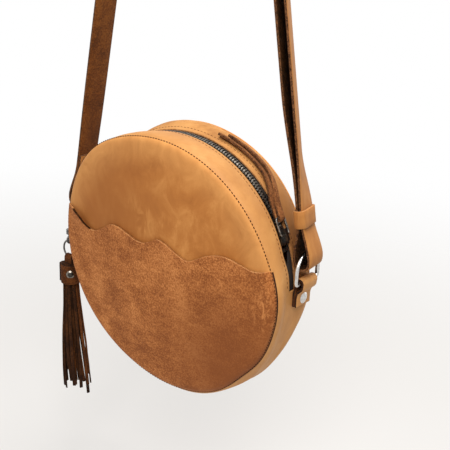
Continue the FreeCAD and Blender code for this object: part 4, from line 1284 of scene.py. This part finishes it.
@dataclass
class Strap:
    """One leather strip, doubled up the right leg, with its keeper.

    Places along a leg are millimetres up from its loop.
    """

    finishes: Finishes
    width: float = 22.0
    thick: float = 2.2
    middle: float = 1.25
    hang_x: float = 110.613
    hang_y: float = 5.0
    hang_turn: float = math.radians(2.5909)
    loop_z: float = 30.837
    loop: float = 5.6
    lean: float = math.radians(9.79)
    top: float = 533.0
    hang_z: float = 555.0
    hang_bend: float = 21.1
    hang_steps: int = 14
    right_tail: float = 300.0
    left_tail: float = 38.0
    # Lengths above each loop where the inner face is painted as shadow
    right_painted_shadow: float = 280.0
    left_painted_shadow: float = 23.0
    right_twist: float = math.radians(25.0)
    left_twist: float = math.radians(3.0)
    loop_twist: float = math.radians(9.0)
    loop_ends: Point2 = (0.0, 24.0)
    loose_from: Point2 = (30.0, 76.0)
    held_from: Point2 = (185.0, 264.0)
    parting: float = math.radians(12.0)
    parted_from: Point2 = (40.0, 120.0)
    parted_to: Point2 = (205.0, 266.0)
    bow: float = 2.0
    left_loop_twist: float = 0.2
    left_loop_to: Point2 = (42.0, 110.0)
    left_room: float = 0.5
    left_room_to: Point2 = (25.0, 70.0)
    keeper_wall: float = 1.8
    keeper_height: float = 12.5
    keeper_low: float = 24.0
    keeper_corner: float = 3.2

    def build(self) -> None:
        """Make the strip and the keeper."""
        self.strip()
        self.keeper()

    def on_leg(self, along: float, out: float, depth: float, side: float) -> Vector:
        """Point of a leg, twisted with it, about the bag's centre.

        Args:
            along: distance up the leg from its loop.
            out: distance outwards from the leg's middle.
            depth: distance behind the leg's middle.
            side: 1 for the right leg, -1 for the left.

        Returns:
            The point.
        """
        held = 1 - ease(along, *self.held_from)
        loose = ease(along, *self.loose_from) * held
        at_loop = self.loop_twist * (0.5 + 0.5 * ease(along, *self.loop_ends))
        if side > 0:
            turn = at_loop * held + (self.right_twist - at_loop) * loose
            parted = ease(along, *self.parted_from) * (1 - ease(along, *self.parted_to))
            inner_layer = out < 0
            out -= self.bow * loose
            if inner_layer:
                out -= self.width / 2 * math.sin(self.parting) * parted
                turn -= self.parting * parted
        else:
            fading = 1 - ease(along, *self.left_loop_to)
            turn = self.left_twist * loose - at_loop * self.left_loop_twist * fading
            if out < -2.0:
                out += self.left_room * (1 - ease(along, *self.left_room_to))
        o = out * math.cos(turn) - depth * math.sin(turn)
        y = out * math.sin(turn) + depth * math.cos(turn)
        x = side * (self.hang_x - along * math.sin(self.lean) + o * math.cos(self.lean))
        z = self.loop_z + along * math.cos(self.lean) + o * math.sin(self.lean)
        return self.in_bag(Vector((x, y, z)))

    def in_bag(self, p: Vector) -> Vector:
        """Turn a point of the strap's plane to meet both rings."""
        q = Matrix.Rotation(self.hang_turn, 3, "Z") @ p
        return q + Vector((0.0, self.hang_y, 0.0))

    def leg(self, tail: float) -> list[Point2]:
        """Stops of one leg, from its tail's end round the loop and up: along and out."""
        m, b = self.middle, self.loop
        rise = [(tail - (tail - 34.0) * i / 14, -m) for i in range(14)]
        inner = [(34.0, -m), (27.0, -m - 0.15), (20.5, -m - 0.9), (11.0, -4.2), (4.5, -5.4),
                 (0.0, -b)]
        below = [(-4.4, -b * 0.82), (-6.4, -b * 0.36), (-6.4, b * 0.36), (-4.4, b * 0.80)]
        outer = [(along, -out) for along, out in reversed(inner)] + [(42.0, m)]
        climb = [(42.0 + (self.top - 42.0) * i / 30, m) for i in range(1, 31)]
        return rise + inner + below + outer + climb

    def strip(self) -> None:
        """Sweep the whole strip, from the long tail over the top to the short one."""
        frames = self.stations(self.leg(self.right_tail), 1.0)
        origin, across = self.in_bag(Vector()), self.in_bag(Vector((0.0, 1.0, 0.0)))
        for i in range(1, self.hang_steps):
            turn = self.lean + (math.pi - 2 * self.lean) * i / self.hang_steps
            centre = polar(self.hang_bend, turn) + Vector((0.0, 0.0, self.hang_z))
            out = self.in_bag(polar(1.0, turn)) - origin
            frames.append(station(self.in_bag(centre), across - origin, out))
        frames += self.stations(list(reversed(self.leg(self.left_tail))), -1.0)
        work = Workpiece.strip("strap_leather", self.width, self.thick, 0.5, frames)
        # Painted shadow: the inner face near each loop and between the right leg's layers takes the
        # near-black finish
        for face in work.bm.faces:
            middle = face.calc_center_median()
            painted_shadow_to = self.right_painted_shadow if middle.x > 0 else self.left_painted_shadow
            if face.material_index == 1 and middle.z < self.loop_z + painted_shadow_to:
                face.material_index = 3
        f = self.finishes
        work.finish(Body.STRAP, [f.strap, f.flesh, f.edge, f.shadow], "strap_leather", ["strap"])

    def stations(self, stops: Sequence[Point2], side: float) -> list[Matrix]:
        """Frames of a leg's stops, whose outer face looks away from the strip's inside."""
        fine = smooth_path([Vector((along, out, 0.0)) for along, out in stops], 3)
        frames = []
        step = 0.05
        for p, t in zip(fine, tangents(fine)):
            here = self.on_leg(p.x, p.y, 0.0, side)
            across = self.on_leg(p.x, p.y, 1.0, side) - here
            ahead = self.on_leg(p.x + t.x * step, p.y + t.y * step, 0.0, side) - here
            frames.append(station(here, across, across.cross(ahead)))
        return frames

    def keeper(self) -> None:
        """Wrap the keeper round both layers of the right leg."""
        x = self.middle + self.thick / 2 + 0.15 + self.keeper_wall / 2
        y = self.width / 2 + 0.1 + self.keeper_wall / 2
        c = self.keeper_corner
        eased = c * 0.3
        loop = [(-x - 0.35, 4.0), (-x - 0.2, -y + c), (-x + eased, -y + eased), (-x + c, -y),
                (x - c, -y), (x - eased, -y + eased), (x, -y + c), (x + 0.25, 0.0), (x, y - c),
                (x - eased, y - eased), (x - c, y), (-x + c, y), (-x + eased, y - eased),
                (-x, y - c), (-x, 0.0), (-x, -6.0)]
        middle = self.keeper_low + self.keeper_height / 2
        path = smooth_path([Vector((out, depth, 0.0)) for out, depth in loop], 4)
        up = self.on_leg(middle + 1.0, 0.0, 0.0, 1.0) - self.on_leg(middle, 0.0, 0.0, 1.0)
        points = [self.on_leg(middle, p.x, p.y, 1.0) for p in path]
        frames = stations_along(points, up.normalized())
        work = Workpiece.strip("strap_keeper_leather", self.keeper_height, self.keeper_wall, 0.35,
                               frames)
        f = self.finishes
        work.finish(Body.STRAP, [f.strap, f.flesh, f.pale_edge], "strap_leather", ["strap_keeper"])


@dataclass
class Tassel:
    """Leather loop, rolled band and cut fringe."""

    finishes: Finishes
    x: float = -115.6
    y: float = -11.3
    split_bottom: float = -25.3
    loop_bend: float = 2.4
    loop_width: float = 8.6
    loop_leather: float = 1.8
    wrap_top: float = -30.5
    wrap_length: float = 17.0
    wrap_radius: float = 7.7
    wrap_wall: float = 1.6
    wrap_start: float = -190.0
    wrap_turn: float = 400.0
    lap_from: Point2 = (0.86, 0.95)
    fringe: float = 107.0
    strands: int = 32
    strand_half: float = 0.6
    strand_width: float = 2.5
    head_radius: float = 7.0
    spread: Point2 = (3.0, 6.5)
    curl: float = 6.0
    drift: float = 5.5

    def build(self) -> None:
        """Make the loop, the band and the fringe."""
        self.loop()
        self.wrap()
        self.cut_fringe()

    def loop(self) -> None:
        """Fold the loop over the split ring."""
        b = self.loop_bend
        top = self.split_bottom + 0.4
        low = self.wrap_top - self.wrap_length + 1.0
        leg = [low, low + 8.0, top - 3.0, top]
        turns = [math.radians(150 - 30 * i) for i in range(5)]
        line = [(-b, z) for z in leg]
        line += [(b * math.cos(a), top + b * math.sin(a)) for a in turns]
        line += [(b, z) for z in reversed(leg)]
        path = smooth_path([Vector((self.x, self.y + a, z)) for a, z in line], 3)
        frames = stations_along(path, Vector((1.0, 0.0, 0.0)))
        self.cut("tassel_loop", self.loop_width, self.loop_leather, frames)

    def wrap(self) -> None:
        """Roll the band round the fringe's head, its end lapped on the outside."""
        middle = Vector((self.x, self.y, self.wrap_top - self.wrap_length / 2))
        count = 60
        frames = []
        for i in range(count + 1):
            share = i / count
            turn = math.radians(self.wrap_start + self.wrap_turn * share)
            r = self.wrap_radius + self.wrap_wall * 1.02 * ease(share, *self.lap_from)
            out = Vector((math.cos(turn), math.sin(turn), 0.0))
            frames.append(station(middle + out * r, Vector((0.0, 0.0, 1.0)), out))
        self.cut("tassel_wrap", self.wrap_length, self.wrap_wall, frames)

    def cut(self, node: str, width: float, thick: float, frames: Sequence[Matrix]) -> None:
        """Cut a strip of the tassel's leather."""
        work = Workpiece.strip(f"{node}_suede", width, thick, 0.35, frames, (0, 0, 1))
        f = self.finishes
        work.finish(Body.TASSEL, [f.band, f.dark_edge], "tassel_suede", [node])

    def cut_fringe(self) -> None:
        """Hang uneven strands from the rolled head, every fourth of them paler."""
        work = Workpiece("tassel_fringe_suede")
        base = Vector((self.x, self.y, self.wrap_top - self.wrap_length))
        for i in range(self.strands):
            width, frames = self.strand(i, base)
            w, t = width / 2, self.strand_half
            done = set(work.bm.faces)
            work.sweep([(-w, t), (w, t), (w, -t), (-w, -t)], frames)
            for face in set(work.bm.faces) - done:
                face.material_index = 1 if i % 4 == 1 else 0
        core = Matrix.Translation(base + Vector((0.0, 0.0, 9.0)))
        bmesh.ops.create_cone(work.bm, cap_ends=True, segments=24, radius1=5.6, radius2=6.6,
                              depth=19.0, matrix=core)
        work.finish(Body.TASSEL, [self.finishes.tassel, self.finishes.band], "tassel_suede",
                    ["tassel_fringe"])

    def strand(self, i: int, base: Vector) -> tuple[float, list[Matrix]]:
        """Width and frames of one strand.

        Args:
            i: the strand's number, which sets its place and its chance values.
            base: middle of the head's lower end.

        Returns:
            The width and the frames.
        """
        def chance(scale: float, y: float, z: float) -> float:
            return noise.noise(Vector((i * scale, y, z)))

        share = math.sqrt((i + 0.5) / self.strands)
        turn = math.pi * (3 - math.sqrt(5)) * i
        start = self.head_radius * share
        least, more = self.spread
        spread = (least + more * share) * (0.8 + 0.9 * chance(1.7, 0.3, 0.0))
        length = self.fringe * (0.92 + 0.18 * chance(2.3, 4.1, 0.0)) - 2.5 * (i % 4)
        curl = self.curl * chance(0.9, 7.7, 1.0)
        spin = turn + 0.9 * chance(1.1, 2.2, 5.0)
        out = Vector((math.cos(turn), math.sin(turn), 0.0))
        along_ring = Vector((-math.sin(turn), math.cos(turn), 0.0))
        points = []
        for k in range(7):
            t = k / 6
            swell = start + spread * math.sin(t * 1.9) * t**0.6
            sway = curl * math.sin(t * 3.1 + i)
            drop = Vector((0.0, 0.0, 3.0 - (length + 3.0) * t))
            drift = Vector((0.8, 0.6, 0.0)) * self.drift * t**1.5
            points.append(base + out * swell + along_ring * sway * t + drift + drop)
        path = smooth_path(points, 2)
        frames = []
        for k, (p, along) in enumerate(zip(path, tangents(path))):
            roll = spin + 0.5 * (k / len(path)) * chance(1.0, k * 0.3, 2.0)
            across = Vector((-math.sin(roll), math.cos(roll), 0.0))
            frames.append(station(p, across, across.cross(along)))
        return self.strand_width + 0.8 * chance(3.1, 1.0, 1.0), frames


@dataclass
class Hardware:
    """Metal pieces that keep their solids and get a finish."""

    finishes: Finishes
    nodes: dict[str, bpy.types.Object]

    def dress(self) -> None:
        """Give each metal node its finish."""
        f = self.finishes
        looks = {
            "left_ring right_ring left_tab_rivet right_tab_rivet strap_studs": f.nickel,
            "zip_teeth_front zip_teeth_rear zip_stops pull_ring": f.antique,
            "clasp_body clasp_trigger clasp_swivel split_ring slider_body": f.gunmetal,
            "tassel_rivet": f.eyed,
        }
        for names, material in looks.items():
            for name in names.split():
                mesh = self.nodes[name].data
                mesh.materials.clear()
                mesh.materials.append(material)
                LOG.info("%s: %s", name, material.name)


# Studio


@dataclass
class Studio:
    """Floor, light and camera."""

    floor_z: float = -0.80
    floor_radius: float = 2.4
    floor_reach: float = 1.2
    floor_glow: float = 0.50
    lens: float = 68.0
    sensor: float = 36.0
    eye: Point3 = (404.8, -477.6, 248.7)
    yaw: float = math.radians(-37.19)
    pitch: float = math.radians(-19.1)
    roll: float = math.radians(2.57)
    ambient: float = 0.25

    def build(self) -> None:
        """Set the stage."""
        bpy.context.scene.view_settings.view_transform = "Standard"
        self.world()
        self.floor()
        self.lamp("key", (0.65, -0.90, 1.05), 0.9, 19.3, (1.0, 0.98, 0.95))
        self.lamp("overhead", (0.25, 0.02, 1.25), 0.8, 17.0, (1.0, 0.99, 0.97))
        self.lamp("fill", (-1.1, -0.9, 0.1), 1.4, 2.5, (0.97, 0.98, 1.0))
        self.lamp("back", (0.3, 1.3, 0.4), 1.4, 3.5, (1.0, 1.0, 1.0))
        self.camera()

    def world(self) -> None:
        """White surroundings that also light the bag softly."""
        world = bpy.data.worlds.new("studio")
        bpy.context.scene.world = world
        g = Graph(world)
        rays = g.node("ShaderNodeLightPath")
        seen = rays["Is Camera Ray"] + rays["Is Glossy Ray"] + rays["Is Transmission Ray"]
        strength = self.ambient + seen.span(0.0, 1.0) * (1.0 - self.ambient)
        sky = g.node("ShaderNodeBackground", {}, {"Color": WHITE, "Strength": strength})
        g.node("ShaderNodeOutputWorld", {}, {"Surface": sky[0]})

    def floor(self) -> None:
        """Pale floor under the hanging bag, fading into the white surroundings."""
        bm = bmesh.new()
        bmesh.ops.create_circle(bm, cap_ends=True, segments=64, radius=self.floor_radius,
                                matrix=Matrix.Translation((0, 0, self.floor_z)))
        mesh = bpy.data.meshes.new("floor")
        bm.to_mesh(mesh)
        bm.free()
        g = Graph.named("pale_floor")
        fade = g.near((0.0, 0.0, self.floor_z), (self.floor_reach, self.floor_reach, 1.0))
        pale = g.blend(fade, (0.44, 0.43, 0.42), (0.30, 0.29, 0.28))
        matt = g.node("ShaderNodeBsdfDiffuse", {}, {"Color": pale})
        warm = {"Color": (1.0, 0.985, 0.965, 1.0), "Strength": self.floor_glow}
        glow = g.node("ShaderNodeEmission", {}, warm)
        lit = g.node("ShaderNodeAddShader", {}, {0: matt[0], 1: glow[0]})
        clear = g.node("ShaderNodeBsdfTransparent")
        both = g.node("ShaderNodeMixShader", {}, {0: fade, 1: clear[0], 2: lit[0]})
        g.node("ShaderNodeOutputMaterial", {}, {"Surface": both[0]})
        mesh.materials.append(g.owner)
        floor = bpy.data.objects.new("floor", mesh)
        bpy.context.scene.collection.objects.link(floor)

    @staticmethod
    def lamp(name: str, place: Point3, size: float, power: float, colour: Colour) -> None:
        """Add one soft lamp aimed at the bag.

        Args:
            name: the lamp's name.
            place: metres from the bag's centre.
            size: width of the lamp.
            power: watts.
            colour: colour of the light.
        """
        data = bpy.data.lights.new(name, "AREA")
        data.shape = "DISK"
        data.size = size
        data.energy = power
        data.color = colour
        lamp = bpy.data.objects.new(name, data)
        target = Vector((0.0, 0.0, -BAG_DROP * MM))
        lamp.location = target + Vector(place)
        lamp.rotation_euler = (target - lamp.location).to_track_quat("-Z", "Y").to_euler()
        bpy.context.scene.collection.objects.link(lamp)

    def camera(self) -> None:
        """Camera at the photograph's place."""
        ahead = Vector((math.sin(self.yaw) * math.cos(self.pitch),
                        math.cos(self.yaw) * math.cos(self.pitch), math.sin(self.pitch)))
        level = Vector((math.cos(self.yaw), -math.sin(self.yaw), 0.0))
        above = level.cross(ahead)
        right = level * math.cos(self.roll) + above * math.sin(self.roll)
        up = above * math.cos(self.roll) - level * math.sin(self.roll)
        data = bpy.data.cameras.new("camera")
        data.lens = self.lens
        data.sensor_width = self.sensor
        camera = bpy.data.objects.new("camera", data)
        frame = Matrix((right, up, -ahead)).transposed().to_4x4()
        frame.translation = to_frame(Vector(self.eye))
        camera.matrix_world = frame
        bpy.context.scene.collection.objects.link(camera)
        bpy.context.scene.camera = camera


def main() -> None:
    """Dress the frame and set the stage."""
    logging.basicConfig(level=logging.INFO, format="%(message)s")
    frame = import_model()
    finishes = Finishes()
    Studio().build()
    for leather in (Panels, SideWall, Pull, Tabs, Strap, Tassel):
        leather(finishes).build()
    Hardware(finishes, frame["nodes"]).dress()


if __name__ == "__main__":
    main()
